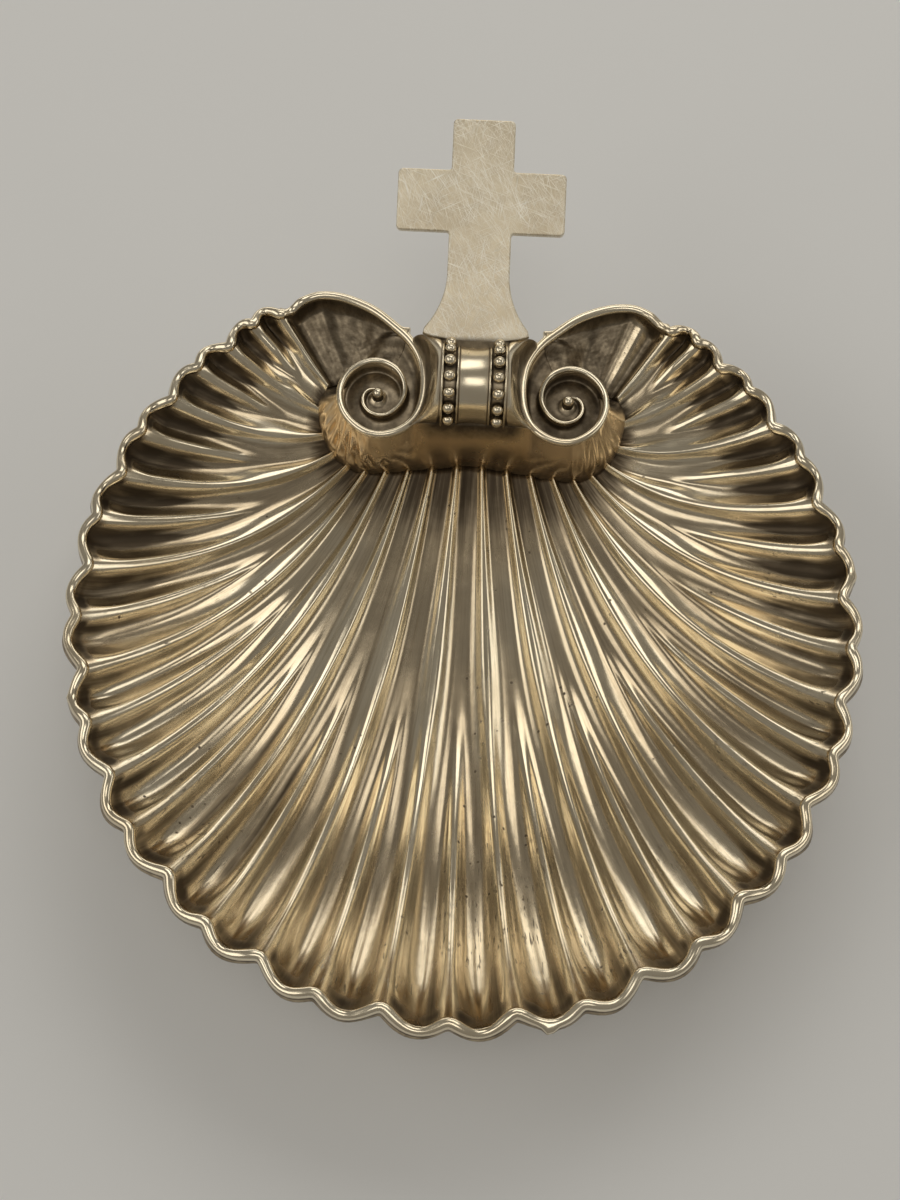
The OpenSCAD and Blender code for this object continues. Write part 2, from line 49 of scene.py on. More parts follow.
BACK_GAIN = 23.0  # further reach on the hinge side
DEPTH = 20.5
SHEET = 1.2
FLUTE = 2.6  # depth of the flutes where they are deepest
EAR_LIFT = 2.5
WIRE = 1.0  # radius of the rolled rim
LOBE = 1.9  # swell of each lobe of the rim
SCROLL_X = 14.9
SCROLL_Y = 38.4
SCROLL_R = 7.4
EYE_R = 0.9
APRON_T = 1.2
SPOOL_R = 5.8
PEARL_D = 1.75
PEARL_TURN = 16  # pearls that would fill a whole turn of the band
PEARL_COUNT = 7
CROSS_W = 26.2
CROSS_H = 33.2
CROSS_BAR = 9.7
CROSS_FOOT = 16.6
CROSS_SAG = 1.5  # hollow of the foot
CROSS_T = 1.4
CROSS_TILT = 25.0
FOOT_R = 3.2
SEAT_GAP = 0.3
MM = 0.001  # a millimetre in metres

# Layout of the ridges: numbered from the front middle, out to the ears
DEEP_Y = -10.0
FAN_END = 19.0
EAR_END = 25.0
EAR_FROM = 39.0  # angles about the scroll between which the ear's rim runs
EAR_TO = 112.0
EAR_SEAM = 2.6
EAR_RIB = 20.3
EAR_FLOOR = 2.4
UMBO_W = 24.6
UMBO_Y = 34.8
SCROLL = np.array([SCROLL_X, SCROLL_Y])
SPOOL_Y = SCROLL_Y + 0.6
SPOOL_Z = 3.5

# The scrolls lie in a plane that rises backwards from this line
PLANE_Y = 30.0
PLANE_Z = 0.08 * EAR_LIFT
PLANE_TILT = 0.092


def sind(v):
    return np.sin(np.radians(v))


def cosd(v):
    return np.cos(np.radians(v))


def ramp(v, start, end):
    """Rises smoothly from nought at start to one at end."""
    c = np.clip((v - start) / (end - start), 0, 1)
    return c * c * (3 - 2 * c)


def hill(v, middle, half):
    """A round hill of height one about the middle."""
    return np.exp(-((v - middle) / half) ** 2)


def unit(v):
    return v / np.maximum(np.linalg.norm(v, axis=-1, keepdims=True), 1e-9)


def pair(x, y):
    return np.stack(np.broadcast_arrays(x, y), -1)


def with_z(xy, z):
    """Plan points with their heights."""
    return np.concatenate([xy, z[..., None]], -1)


# Line of the ears' rim and of the scroll: angle about the scroll centre, distance beyond SCROLL_R
VOLUTE = ((39, 14.5), (59, 12.8), (80, 8.6), (97, 5.4), (112, 3.7), (135, 1.75), (158, 0.3), (185, -0.35),
          (230, -0.2), (270, -0.3), (305, -1.0), (345, -1.4), (400, -1.45), (440, -1.5), (475, -2.1),
          (511, -2.8), (560, -3.6), (620, -3.95), (690, -4.8), (760, -5.7), (820, -6.4))
# Half-width of the roll along that line, in rim radii: it thins into the ring and into the eye
SWELL = ((112, 0.76), (140, 0.74), (165, 0.7), (190, 0.68), (230, 0.66), (320, 0.56), (420, 0.5), (511, 0.4),
         (600, 0.33), (720, 0.3), (830, 0.18))


def through(knots, f):
    """A smooth curve through given knots, held level beyond both ends."""
    x, y = np.array(knots, float).T
    n = len(x)
    low = np.maximum(np.arange(n) - 1, 0)
    high = np.minimum(np.arange(n) + 1, n - 1)
    slope = (y[high] - y[low]) / (x[high] - x[low])
    i = np.clip(np.searchsorted(x, f, side="right") - 1, 0, n - 2)
    w = x[i + 1] - x[i]
    u = np.clip((f - x[i]) / w, 0, 1)
    return (y[i] * (1 - u) ** 2 * (1 + 2 * u) + y[i + 1] * u ** 2 * (3 - 2 * u)
            + slope[i] * w * u * (1 - u) ** 2 - slope[i + 1] * w * u ** 2 * (1 - u))


def spiral_r(f):
    return SCROLL_R + through(VOLUTE, f)


def plane_z(y):
    return PLANE_Z + PLANE_TILT * (y - PLANE_Y)


def about_scroll(f, r):
    return pair(SCROLL_X + r * cosd(f), SCROLL_Y + r * sind(f))


# Plan of the fan: the first ridge's angle, how the ridges close up, and the lobes between them
FAN_FIRST = 10.45
FAN_CLOSE = 0.0066
LOBE_GAIN = 1.1
LOBE_POWER = 0.95
EVEN_GAIN = 0.9
# Plan of the umbo's edge: the roots' angles, their fall from the middle, and the turn beside the ears
ROOT_FIRST = 4.65
ROOT_OPEN = 0.0009
ROOT_FALL = 0.3
ROOT_TURN = 8.0
ROOT_RISE = 0.125
EAR_ROOT_IN = 1.1
EAR_ROOT_POWER = 2.6


def reach(d):
    return FRONT_R + BACK_GAIN * ((1 - cosd(d)) / 2) ** 2


def fan_rim(a):
    d = FAN_FIRST * a - FAN_CLOSE * a ** 3
    lobe = LOBE * LOBE_GAIN * np.abs(sind(180 * a)) ** LOBE_POWER
    r = reach(d) + lobe + EVEN_GAIN * cosd(90 * a) ** 2
    return pair(r * sind(d), DEEP_Y - r * cosd(d))


def ear_angle(a):
    return EAR_FROM + (EAR_TO - EAR_FROM) * (a - FAN_END) / (EAR_END - FAN_END)


def ear_rim(a):
    k = ramp(a, FAN_END, FAN_END + 2)[..., None]
    curl = about_scroll(ear_angle(a), spiral_r(ear_angle(a)))
    start = fan_rim(np.float64(FAN_END)) - about_scroll(EAR_FROM, spiral_r(np.float64(EAR_FROM)))
    return curl + start * (1 - k)


def fan_root(a):
    x = UMBO_W * sind(ROOT_FIRST * a + ROOT_OPEN * a ** 3)
    y = UMBO_Y - ROOT_FALL * a + ROOT_RISE * np.maximum(a - ROOT_TURN, 0) ** 2
    return pair(x, y)


def ear_root(a):
    v = fan_root(np.float64(FAN_END)) - SCROLL
    k = np.clip((EAR_END - a) / (EAR_END - FAN_END), 0, 1)
    first = math.degrees(math.atan2(v[1], v[0]))
    turn = first + (EAR_TO - EAR_SEAM - first) * (1 - k)
    near = SCROLL_R - EAR_ROOT_IN
    return about_scroll(turn, near + (np.hypot(*v) - near) * k ** EAR_ROOT_POWER)


def both_sides(fan, ear, s):
    """A plan curve for signed ridge numbers: the fan up to its end, then the ear, mirrored for negatives."""
    s = np.asarray(s, float)
    a = np.abs(s)
    p = np.where((a <= FAN_END)[..., None], fan(np.minimum(a, FAN_END)), ear(np.maximum(a, FAN_END)))
    return p * pair(np.where(s < 0, -1.0, 1.0), 1.0)


def rim_xy(s):
    return both_sides(fan_rim, ear_rim, s)


def sharp_root_xy(s):
    return both_sides(fan_root, ear_root, s)


def eased(line, s, spread, fade, n):
    """A plan line averaged over the ridge numbers near s, with the most weight on the middle."""
    weights = np.cos(np.linspace(-fade, fade, n))
    steps = np.linspace(-spread, spread, n)
    return sum(w * line(s + d) for d, w in zip(steps, weights)) / weights.sum()


def root_xy(s):
    """Line of the roots, with the corner beside the ears rounded off."""
    s = np.asarray(s, float)
    a = np.abs(s)
    keep = (ramp(a, 14, 17) * (1 - ramp(a, 21.5, 24.5)))[..., None]
    return eased(sharp_root_xy, s, 2.2, 1.3, 11) * keep + sharp_root_xy(s) * (1 - keep)


# Heights of the rim and of the smooth dish that the ridge tops lie on
LIFT_FROM = 15.0
LIFT_RUN = 40.0
DISH_POWER = 1.9
FLUTE_BOW = 6.0
PLAN_STEP = 0.03


def lift(y):
    return EAR_LIFT * (np.maximum(y - LIFT_FROM, 0) / LIFT_RUN) ** 2


def rim_z(s):
    y = rim_xy(s)[..., 1]
    k = ramp(np.abs(s), FAN_END, FAN_END + 3)
    return lift(y) * (1 - k) + plane_z(y) * k


def dish_z(p):
    qx, qy = p[..., 0], p[..., 1] - DEEP_Y
    d = np.degrees(np.arctan2(np.abs(qx), -qy))
    return lift(p[..., 1]) - DEPTH * (1 - (np.hypot(qx, qy) / reach(d)) ** DISH_POWER)


def soft_rim_xy(s):
    """The rim line with its notches eased, as a rolled edge turns them."""
    keep = ramp(np.abs(s), FAN_END + 0.2, FAN_END + 0.8)[..., None]
    return eased(rim_xy, s, 0.12, 1.2, 7) * (1 - keep) + rim_xy(s) * keep


def rim_normal(s):
    """Outward normal of the rim line in plan."""
    d = unit(soft_rim_xy(s + PLAN_STEP) - soft_rim_xy(s - PLAN_STEP))
    return pair(d[..., 1], -d[..., 0])


def edge_xy(s):
    """Edge of the sheet, inside the roll; it reaches further under the roll along the ears."""
    inside = WIRE * (0.5 - 0.3 * ramp(np.abs(s), 20, 22))
    return soft_rim_xy(s) - rim_normal(s) * inside[..., None]


def path_xy(s, t):
    """Line of ridge number s in plan, for the share t of the way from its root to the rim."""
    q, r = root_xy(s), edge_xy(s)
    m = (q + r) / 2
    bow = FLUTE_BOW * sind(180 * np.minimum(np.abs(s), FAN_END) / FAN_END)[..., None]
    c = m + unit(np.array([0, DEEP_Y]) - m) * bow
    t = t[..., None]
    return q * (1 - t) ** 2 + c * 2 * t * (1 - t) + r * t * t


# Face of the scrolls: a channel wound in towards the eye, with angles that count on through its turns
INNER_TURN = 511.0
HUB_TURN = 840.0
HUB_FADE = 100.0
WALL_DROP = 0.3


def scroll_floor(r):
    """Depth of the channel's floor below the plane of the rim."""
    return 0.7 + 0.5 * ramp(r, 0.5, 1.7) + 0.8 * ramp(r, 2, 5.5)


def scroll_height(f, r):
    """Height of the scroll's face over the plane of the rim; f runs over the outer turn."""
    z = -scroll_floor(r)
    for turn in (0, 360, 720):
        g = f + turn
        arm = spiral_r(g)
        fade = 1 - 0.3 * ramp(g, INNER_TURN, INNER_TURN + 200)
        fade = fade * (1 - ramp(g, HUB_TURN - HUB_FADE, HUB_TURN))
        width = 0.36 + 0.3 * (1 - ramp(g, 215, 475)) + 0.5 * (1 - ramp(g, EAR_TO, EAR_TO + 90))
        z = z + (scroll_floor(arm) - WALL_DROP) * fade * hill(r, arm, width)
    return z


# Cross-section of the flutes and of the two hollows in each ear
SCOOP_DEPTH = 1.1
FLOOR_DEPTH = 1.3
CLOSE_FROM = 0.92


def trough(w, half, hollow):
    """Zero on a ridge and one in the middle of a trough; w is the distance in ridge spacings."""
    return (1 - hollow) * (1 - hill(w, 0, half)) + hollow * sind(180 * w) ** 2


def flute(s, t):
    """Depth of the cross-section, from nought on a ridge to about one in a trough."""
    a = np.abs(s)
    # Every second ridge starts at the root, and those between grow towards the rim
    main = np.abs((a - 1) / 2 - np.round((a - 1) / 2))
    every = np.abs(a - np.round(a))
    grown = 0.86 * ramp(t, 0.33, 0.73)
    half = 0.125 + 0.085 * ramp(t, 0, 0.35)
    hollow = 0.18 + 0.4 * ramp(a, 3, 9) * ramp(t, 0.4, 0.8)
    # Each ridge forks at the rim, so that the flutes end round
    fork = 0.17 - 0.03 * t + 0.2 * ramp(t, 0.86, 1) ** 2
    fan = trough(main, half, hollow) * (1 - grown) + trough(every, fork, hollow) * grown
    # Each ear has a narrow scoop, a low rib and then its broad floor
    narrow = np.clip((a - FAN_END) / (EAR_RIB - FAN_END), 0, 1)
    broad = np.clip((a - EAR_RIB) / (EAR_END - EAR_RIB), 0, 1)
    scoop = SCOOP_DEPTH * trough(np.minimum(narrow, 1 - narrow), 0.22, 0.35)
    floor = FLOOR_DEPTH * trough(np.minimum(broad, 1 - broad), 0.1, 0.2)
    ears = np.where(a < EAR_RIB, scoop, floor)
    # The rib is beaten almost flat on the left
    flat = np.where(s < 0, 1.0, 0.7)
    spread = np.where(s < 0, 0.5, 0.35)
    ears = ears + flat * hill(a, EAR_RIB, spread) * (1 - ears / FLOOR_DEPTH)
    return np.where(a <= FAN_END, fan, ears)


def flute_amp(s, t):
    """Depth of the flutes in millimetres: it grows along them, and they close at the rim."""
    close = np.maximum((t - CLOSE_FROM) / (1 - CLOSE_FROM), 0)
    hand = 1 + 0.05 * np.sin(2.3 * s + 0.7) + 0.04 * np.sin(5.1 * s + 2.0)
    return FLUTE * (0.42 + 0.58 * t ** 1.3) * np.sqrt(np.maximum(1 - close ** 2, 0)) * hand


def ear_rise(s):
    """The ears' floors rise towards the scrolls, where they run into the wound channel."""
    return ramp(np.abs(s), FAN_END + 1, EAR_END)


def base_z(s, p):
    k = ear_rise(s)
    return dish_z(p) * (1 - k) + (plane_z(p[..., 1]) - EAR_FLOOR) * k


def root_z(s):
    return base_z(s, root_xy(s))


def beside_scroll(s, p):
    """A low crescent on the ear's floor along the outside of the scroll ring, from nought to one."""
    x, y = np.abs(p[..., 0]) - SCROLL_X, p[..., 1] - SCROLL_Y
    angle = np.degrees(np.arctan2(y, x))
    line = hill(np.hypot(x, y), 8.7 + 0.012 * (angle - 60), 0.8)
    ends = ramp(angle, 20, 55) * (1 - ramp(angle, 62, 102))
    return line * ends * ramp(np.abs(s), 20, 20.8)


def punched(x, y):
    """Height of the uneven ground that the punch leaves on the ears' floors."""
    broad = 0.2 * np.sin(1.1 * x + 0.3 * y) * np.sin(0.9 * y - 0.4 * x + 0.6)
    middle = 0.07 * np.sin(1.9 * x - 1.6 * y + 1.0)
    fine = 0.025 * np.sin(5.1 * y + 3.1 * x) * np.sin(4.3 * x - 1.7 * y)
    return broad + middle + fine


def bowl_top(s, t):
    """Upper face of the sheet at ridge number s, for the share t of the way from the root to the rim."""
    s, t = np.broadcast_arrays(np.asarray(s, float), np.asarray(t, float))
    a = np.abs(s)
    p = path_xy(s, t)
    z = base_z(s, p) + (rim_z(s) - base_z(s, edge_xy(s))) * t ** 3
    z = z - flute_amp(s, t) * flute(s, t) * (1 - 0.7 * ear_rise(s))
    # The ears run into the throat of the scrolls
    across = np.hypot(np.abs(p[..., 0]) - SCROLL_X, p[..., 1] - SCROLL_Y)
    throat = plane_z(p[..., 1]) + scroll_height(np.full(across.shape, EAR_TO), across)
    k = ramp(a, 22, EAR_END)
    z = z * (1 - k) + throat * k
    inside = ramp(a, EAR_RIB + 0.5, EAR_RIB + 1.3) * sind(180 * np.clip(t, 0, 1)) * (1 - k)
    z = z + punched(p[..., 0], p[..., 1]) * inside + 0.75 * beside_scroll(s, p)
    return with_z(p, z)


def bowl_low(s, t):
    """Lower face of the sheet, straight below the upper one and further off towards the steep rim."""
    p = bowl_top(s, t)
    p[..., 2] -= SHEET * (1.02 + 0.22 * np.broadcast_to(t, p.shape[:-1]))
    return p


# Where the frame of the whole part lies against the bowl, read off the cross
CROSS_REST = 28.0  # angle on the spool at which the foot of the cross rests
FLARE_X = SCROLL_X - SCROLL_R - 0.35 - 1.5 * WIRE - SEAT_GAP
FLARE_R = SPOOL_R + 1.3
CROSS_SEAT = FLARE_R + SEAT_GAP - CROSS_SAG * (2 * FLARE_X / CROSS_FOOT) ** 2
CROSS_Y = SPOOL_Y + CROSS_SEAT * cosd(CROSS_REST) + CROSS_SAG * cosd(CROSS_TILT)
CROSS_Z = SPOOL_Z + CROSS_SEAT * sind(CROSS_REST) + CROSS_SAG * sind(CROSS_TILT)
CROSS_RISE = CROSS_H * sind(CROSS_TILT) + CROSS_T * cosd(CROSS_TILT)
cross_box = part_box("cross_handle")
Y_MID = CROSS_Y + CROSS_H * cosd(CROSS_TILT) - cross_box[1][1] / MM
FLOOR_Z = CROSS_Z + CROSS_RISE - cross_box[1][2] / MM


def to_part(points):
    """Points of the bowl frame in millimetres as metres in the part's frame."""
    p = np.array(points, float)
    p[..., 1] -= Y_MID
    p[..., 2] -= FLOOR_Z
    return p * MM


# Mesh helpers
def piece(name, points, faces, material, nodes, slot, **attributes):
    """A mesh object that stands for CAD nodes, with one float attribute per keyword."""
    mesh = bpy.data.meshes.new(name)
    mesh.from_pydata(to_part(points).tolist(), [], [list(map(int, f)) for f in faces])
    for key, values in attributes.items():
        layer = mesh.attributes.new(key, "FLOAT", "POINT")
        layer.data.foreach_set("value", np.asarray(values, np.float32).ravel())
    work = bmesh.new()
    work.from_mesh(mesh)
    bmesh.ops.recalc_face_normals(work, faces=work.faces)
    work.to_mesh(mesh)
    work.free()
    mesh.shade_smooth()
    mesh.materials.append(material)
    obj = bpy.data.objects.new(name, mesh)
    bpy.context.scene.collection.objects.link(obj)
    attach(obj, "root")
    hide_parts(*nodes)
    return obj


def grid_faces(n, m, start=0, wrap=False):
    """Quads of an n by m grid of points; wrap joins the last column of each row to its first."""
    last = m if wrap else m - 1
    i, j = np.meshgrid(np.arange(n - 1), np.arange(last), indexing="ij")
    k = (j + 1) % m
    return np.stack([i * m + j, i * m + k, (i + 1) * m + k, (i + 1) * m + j], -1).reshape(-1, 4) + start


def border(n, m):
    """Point numbers round the edge of an n by m grid."""
    return np.concatenate([np.arange(m), np.arange(1, n) * m + m - 1,
                           (n - 1) * m + np.arange(m - 2, -1, -1), np.arange(n - 2, 0, -1) * m])


def sheet_faces(n, m):
    """Quads of a closed sheet made of an upper and a lower n by m grid."""
    loop = border(n, m)
    after = np.roll(loop, -1)
    wall = np.stack([loop, after, after + n * m, loop + n * m], -1)
    return np.concatenate([grid_faces(n, m), grid_faces(n, m, n * m), wall])


def tube_faces(n, m):
    """Quads of a tube of n rings with m points each, with both ends closed."""
    return grid_faces(n, m, wrap=True).tolist() + [list(range(m)), list(range((n - 1) * m, n * m))]


def moved(faces, start):
    """Faces whose point numbers begin at start."""
    return [[v + start for v in f] for f in faces]


def two_faced(top, low):
    """Points of a sheet, the upper grid first."""
    return np.concatenate([top.reshape(-1, 3), low.reshape(-1, 3)])


def two_toned(dark, under):
    """Tarnish and painted shade of a sheet: a grid of values above and one value below."""
    return np.concatenate([dark.ravel(), np.full(dark.size, under)])


def mirrored(points, side):
    return points * np.array([side, 1, 1])


def lathe(profile, steps):
    """Points of a profile of (radius, height) turned about Z."""
    turn = 360 * np.arange(steps) / steps
    prof = np.asarray(profile, float)
    x = prof[:, None, 0] * cosd(turn)[None, :]
    y = prof[:, None, 0] * sind(turn)[None, :]
    return np.stack([x, y, np.broadcast_to(prof[:, None, 1], x.shape)], -1).reshape(-1, 3)


def arc(cx, cy, r, start, end, n):
    turn = np.linspace(start, end, n)
    return pair(cx + r * cosd(turn), cy + r * sind(turn))


# Materials
class Shader:
    """A small builder of node materials."""

    def __init__(self, name):
        self.material = bpy.data.materials.new(name)
        self.material.use_nodes = True
        self.tree = self.material.node_tree
        self.bsdf = self.tree.nodes["Principled BSDF"]
        self.place = self.node("ShaderNodeTexCoord").outputs["Object"]

    def node(self, kind, **values):
        n = self.tree.nodes.new(kind)
        for key, value in values.items():
            setattr(n, key, value)
        return n

    def link(self, source, target):
        self.tree.links.new(source, target)

    def fill(self, socket, value):
        if hasattr(value, "is_output"):
            self.link(value, socket)
        else:
            socket.default_value = value

    def set(self, **values):
        """Sets sockets of the surface shader, named with _ for a space."""
        for key, value in values.items():
            self.fill(self.bsdf.inputs[key.replace("_", " ")], value)

    def attribute(self, name):
        return self.node("ShaderNodeAttribute", attribute_name=name).outputs["Fac"]

    def along_flutes(self, stretch):
        """A place across the flutes and along them, the latter times stretch."""
        n = self.node("ShaderNodeCombineXYZ")
        self.link(self.attribute("lane"), n.inputs["X"])
        self.link(self.times(self.attribute("run"), stretch), n.inputs["Y"])
        return n.outputs["Vector"]

    def stretched(self, scale, turn):
        n = self.node("ShaderNodeMapping", vector_type="TEXTURE")
        n.inputs["Scale"].default_value = [1 / v for v in scale]
        n.inputs["Rotation"].default_value = [math.radians(v) for v in turn]
        self.link(self.place, n.inputs["Vector"])
        return n.outputs["Vector"]

    def noise(self, scale, detail=3.0, rough=0.55, place=None):
        """Noise with scale waves per unit of place, which is the metre if no place is given."""
        n = self.node("ShaderNodeTexNoise")
        n.inputs["Scale"].default_value = scale
        n.inputs["Detail"].default_value = detail
        n.inputs["Roughness"].default_value = rough
        self.link(place or self.place, n.inputs["Vector"])
        return n.outputs["Fac"]

    def cells(self, scale):
        n = self.node("ShaderNodeTexVoronoi")
        n.inputs["Scale"].default_value = scale
        self.link(self.place, n.inputs["Vector"])
        return n.outputs["Distance"]

    def span(self, value, low, high):
        """Maps low to high onto nought to one, clamped, with smooth ends."""
        n = self.node("ShaderNodeMapRange", interpolation_type="SMOOTHSTEP")
        self.fill(n.inputs["Value"], value)
        n.inputs["From Min"].default_value = low
        n.inputs["From Max"].default_value = high
        return n.outputs["Result"]

    def math(self, operation, a, b):
        n = self.node("ShaderNodeMath", operation=operation)
        self.fill(n.inputs[0], a)
        self.fill(n.inputs[1], b)
        return n.outputs[0]

    def times(self, a, b):
        return self.math("MULTIPLY", a, b)

    def plus(self, a, b):
        return self.math("ADD", a, b)

    def most(self, a, b):
        return self.math("MAXIMUM", a, b)

    def mix(self, factor, a, b):
        n = self.node("ShaderNodeMix", data_type="RGBA")
        self.fill(n.inputs["Factor"], factor)
        self.fill(n.inputs["A"], a)
        self.fill(n.inputs["B"], b)
        return n.outputs["Result"]

    def bump(self, height, distance, strength=1.0, under=None):
        n = self.node("ShaderNodeBump")
        n.inputs["Strength"].default_value = strength
        n.inputs["Distance"].default_value = distance
        self.link(height, n.inputs["Height"])
        if under:
            self.link(under, n.inputs["Normal"])
        return n.outputs["Normal"]


def colour(r, g, b):
    return (r, g, b, 1.0)


SILVER = colour(0.82, 0.74, 0.58)
WARM = colour(0.73, 0.62, 0.44)
DULL = colour(0.50, 0.42, 0.29)
FILM_AND_REFLECTION = colour(0.53, 0.41, 0.26)
TARNISH_AND_SHADE = colour(0.082, 0.063, 0.043)
GOLD = colour(0.90, 0.72, 0.48)
GOLD_WARM = colour(0.72, 0.55, 0.36)
FILED = colour(0.78, 0.69, 0.52)
FILED_DULL = colour(0.64, 0.55, 0.40)
SCRATCH_GLINT = colour(1.0, 0.97, 0.88)
# Turn of each set of scratches on the cross, and how many times longer than wide they are
SCRATCHES = ((24, 52), (-50, 46), (57, 56), (108, 50), (-66, 54), (134, 48), (-18, 52), (82, 50))
SCRATCH_DEPTH = 0.00001


def silver(name, tone=SILVER, warm=WARM, shine=0.16, hammer=0.00005, pits=0.0, fluted=False):
    """Old polished silver: a warm sheen in patches, tarnish and painted shade where the attribute says, and
    fine wear.
    """
    sh = Shader(name)
    patina = sh.attribute("patina")
    patch = sh.span(sh.noise(55, 4), 0.35, 0.7)
    base = sh.mix(sh.times(patch, 0.75), tone, warm)
    grain = sh.noise(420, 5, 0.65)
    if fluted:
        # Polishing lines along the flutes
        streak = sh.noise(9, 5, 0.65, sh.along_flutes(1.0))
        grain = sh.plus(sh.times(grain, 0.25), sh.times(streak, 0.75))
        base = sh.mix(sh.times(sh.span(streak, 0.46, 0.7), 0.55), base, DULL)
    # A brown film, which on the flutes' floors is a painted brown reflection, comes before the tarnish and
    # painted shade, whose edge is ragged
    base = sh.mix(sh.times(sh.span(patina, 0.1, 0.45), 0.6), base, FILM_AND_REFLECTION)
    ragged = sh.plus(patina, sh.math("SUBTRACT", sh.times(grain, 0.6), 0.3))
    stain_and_shade = sh.span(ragged, 0.2, 0.86)
    if pits:
        speck = sh.times(sh.span(sh.cells(560), 0.2, 0.08), sh.span(sh.noise(85, 3), 0.56, 0.62))
        stain_and_shade = sh.most(stain_and_shade, sh.times(speck, pits))
    if fluted:
        # Short dashes of tarnish along the flutes, towards the lip
        dash = sh.span(sh.noise(24, 3, 0.6, sh.along_flutes(3.0)), 0.57, 0.66)
        where = sh.times(sh.span(sh.noise(70, 2), 0.45, 0.62), sh.span(sh.attribute("run"), 0.2, 0.4))
        stain_and_shade = sh.most(stain_and_shade, sh.times(sh.times(dash, where), 0.75))
    smear = sh.times(sh.span(sh.noise(130, 4), 0.4, 0.75), 0.1)
    rough = sh.plus(sh.plus(sh.times(stain_and_shade, 0.3), smear), shine)
    scratch = sh.noise(260, 6, 0.7, sh.stretched((1, 9, 9), (0, 0, 35)))
    normal = sh.bump(scratch, SCRATCH_DEPTH, 0.6, sh.bump(sh.noise(160, 2), hammer))
    # The dark colour is tarnish in places and painted shade in others, as the attribute says
    sh.set(Base_Color=sh.mix(stain_and_shade, base, TARNISH_AND_SHADE), Metallic=1.0, Roughness=rough, Normal=normal)
    return sh.material


def satin(name):
    """The cross plate: filed flat, with fine scratches in every direction."""
    sh = Shader(name)
    marks = 0.0
    for turn, thin in SCRATCHES:
        line = sh.noise(190, 2, 0.5, sh.stretched((1, thin, 1), (0, 0, turn)))
        marks = sh.most(marks, sh.span(line, 0.59, 0.72))
    cloud = sh.span(sh.noise(120, 4), 0.35, 0.7)
    # The scratches are painted near white, a painted glint along each
    base = sh.mix(sh.times(marks, 0.9), sh.mix(cloud, FILED, FILED_DULL), SCRATCH_GLINT)
    stain_and_shade = sh.span(sh.attribute("patina"), 0.2, 0.9)
    rough = sh.plus(sh.times(marks, 0.05), 0.36)
    normal = sh.bump(marks, 2 * SCRATCH_DEPTH, 0.6, sh.bump(sh.noise(900, 3), 2 * SCRATCH_DEPTH, 0.5))
    sh.set(Base_Color=sh.mix(stain_and_shade, base, TARNISH_AND_SHADE), Metallic=1.0, Roughness=rough, Normal=normal)
    return sh.material


bowl_silver = silver("bowl_silver", shine=0.14, pits=0.9, fluted=True)
rim_silver = silver("rim_silver", shine=0.16)
scroll_silver = silver("scroll_silver", shine=0.16)
spool_silver = silver("spool_silver", shine=0.18, hammer=0.00012)
gilt = silver("gilt", GOLD, GOLD_WARM, shine=0.26, hammer=0.00016)
back_silver = silver("back_silver", shine=0.24, hammer=0.0003)
cross_silver = satin("cross_silver")


# Fluted bowl with its ears
FAN_STEPS = 14
EAR_STEPS = 20
BOWL_ROWS = 112


def bowl_columns():
    fan = np.linspace(-FAN_END, FAN_END, int(2 * FAN_END * FAN_STEPS) + 1)
    ear = np.linspace(FAN_END, EAR_END, int((EAR_END - FAN_END) * EAR_STEPS) + 1)[1:]
    return np.concatenate([-ear[::-1], fan, ear])


def flute_lane(s):
    """The flute's number at s, that number with a half more on the left, and the place across it."""
    number = np.floor(np.minimum(np.abs(s), FAN_END - 0.01))
    across = np.minimum(np.abs(s), FAN_END) - number - 0.5
    return number, number + np.where(s < 0, 0.5, 0.0), across


def blotches(s, t):
    lane = flute_lane(s)[1]
    return np.sin(9.1 * s + 3 * np.sin(11 * t)) * np.sin(17 * t + 2.3 * s + 5 * np.sin(3.1 * lane))


def scoop_tarnish_and_reflection(s, t):
    """Dark in the scoops by the rim: painted dark reflections along both edges, and darkening at the end and
    in tongues towards the ears.
    """
    number, lane, across = flute_lane(s)
    side = ramp(number, 2, 6)
    high = ramp(number, 7, 11)
    start = 0.56 - 0.1 * high + 0.07 * np.sin(12.7 * lane + 1.3)
    grow = ramp(t, start, start + 0.4)
    blotch = blotches(s, t)
    hand = np.where((s < 0) & (number < 4), -1.0, 1.0)
    # Painted dark reflections along both edges of each scoop
    upper = hill(across * hand, 0.31 - 0.06 * grow, 0.06 + 0.06 * grow) * grow
    upper = upper * (0.78 + 0.15 * side) * (0.9 + 0.12 * blotch)
    lower = hill(across * hand, -0.35, 0.05) * ramp(t, start + 0.18, start + 0.38)
    lower = lower * (0.5 - 0.12 * side) * (0.75 + 0.3 * np.sin(7.3 * lane))
    end = hill(t, 0.985, 0.018) * (1 - ramp(np.abs(across), 0.38, 0.48))
    end = end * (0.65 + 0.15 * side + 0.2 * blotch)
    tongue = ramp(0.34 * grow - np.abs(across - 0.07), 0, 0.2) * ramp(t, start, start + 0.25)
    tongue = tongue * (0.84 + 0.08 * blotch) * high
    return np.maximum(np.maximum(upper, lower), np.maximum(end, tongue))


def ear_tarnish(s, t):
    """Dark floors of the ears, worn bright beside the scrolls and along the right-hand rib."""
    a = np.abs(s)
    floor = np.maximum(ramp(flute(s, t), 0.1, 0.4), ramp(a, 22, 24))
    worn = np.where(s < 0, 0.7, 0.25) * beside_scroll(s, path_xy(s, t))
    rib = np.where(s < 0, 0.0, 0.5) * hill(a, EAR_RIB - 0.1, 0.32) * ramp(t, 0.1, 0.3)
    return ramp(a, FAN_END + 0.12, FAN_END + 0.42) * floor * 0.66 * (1 - np.maximum(worn, rib))


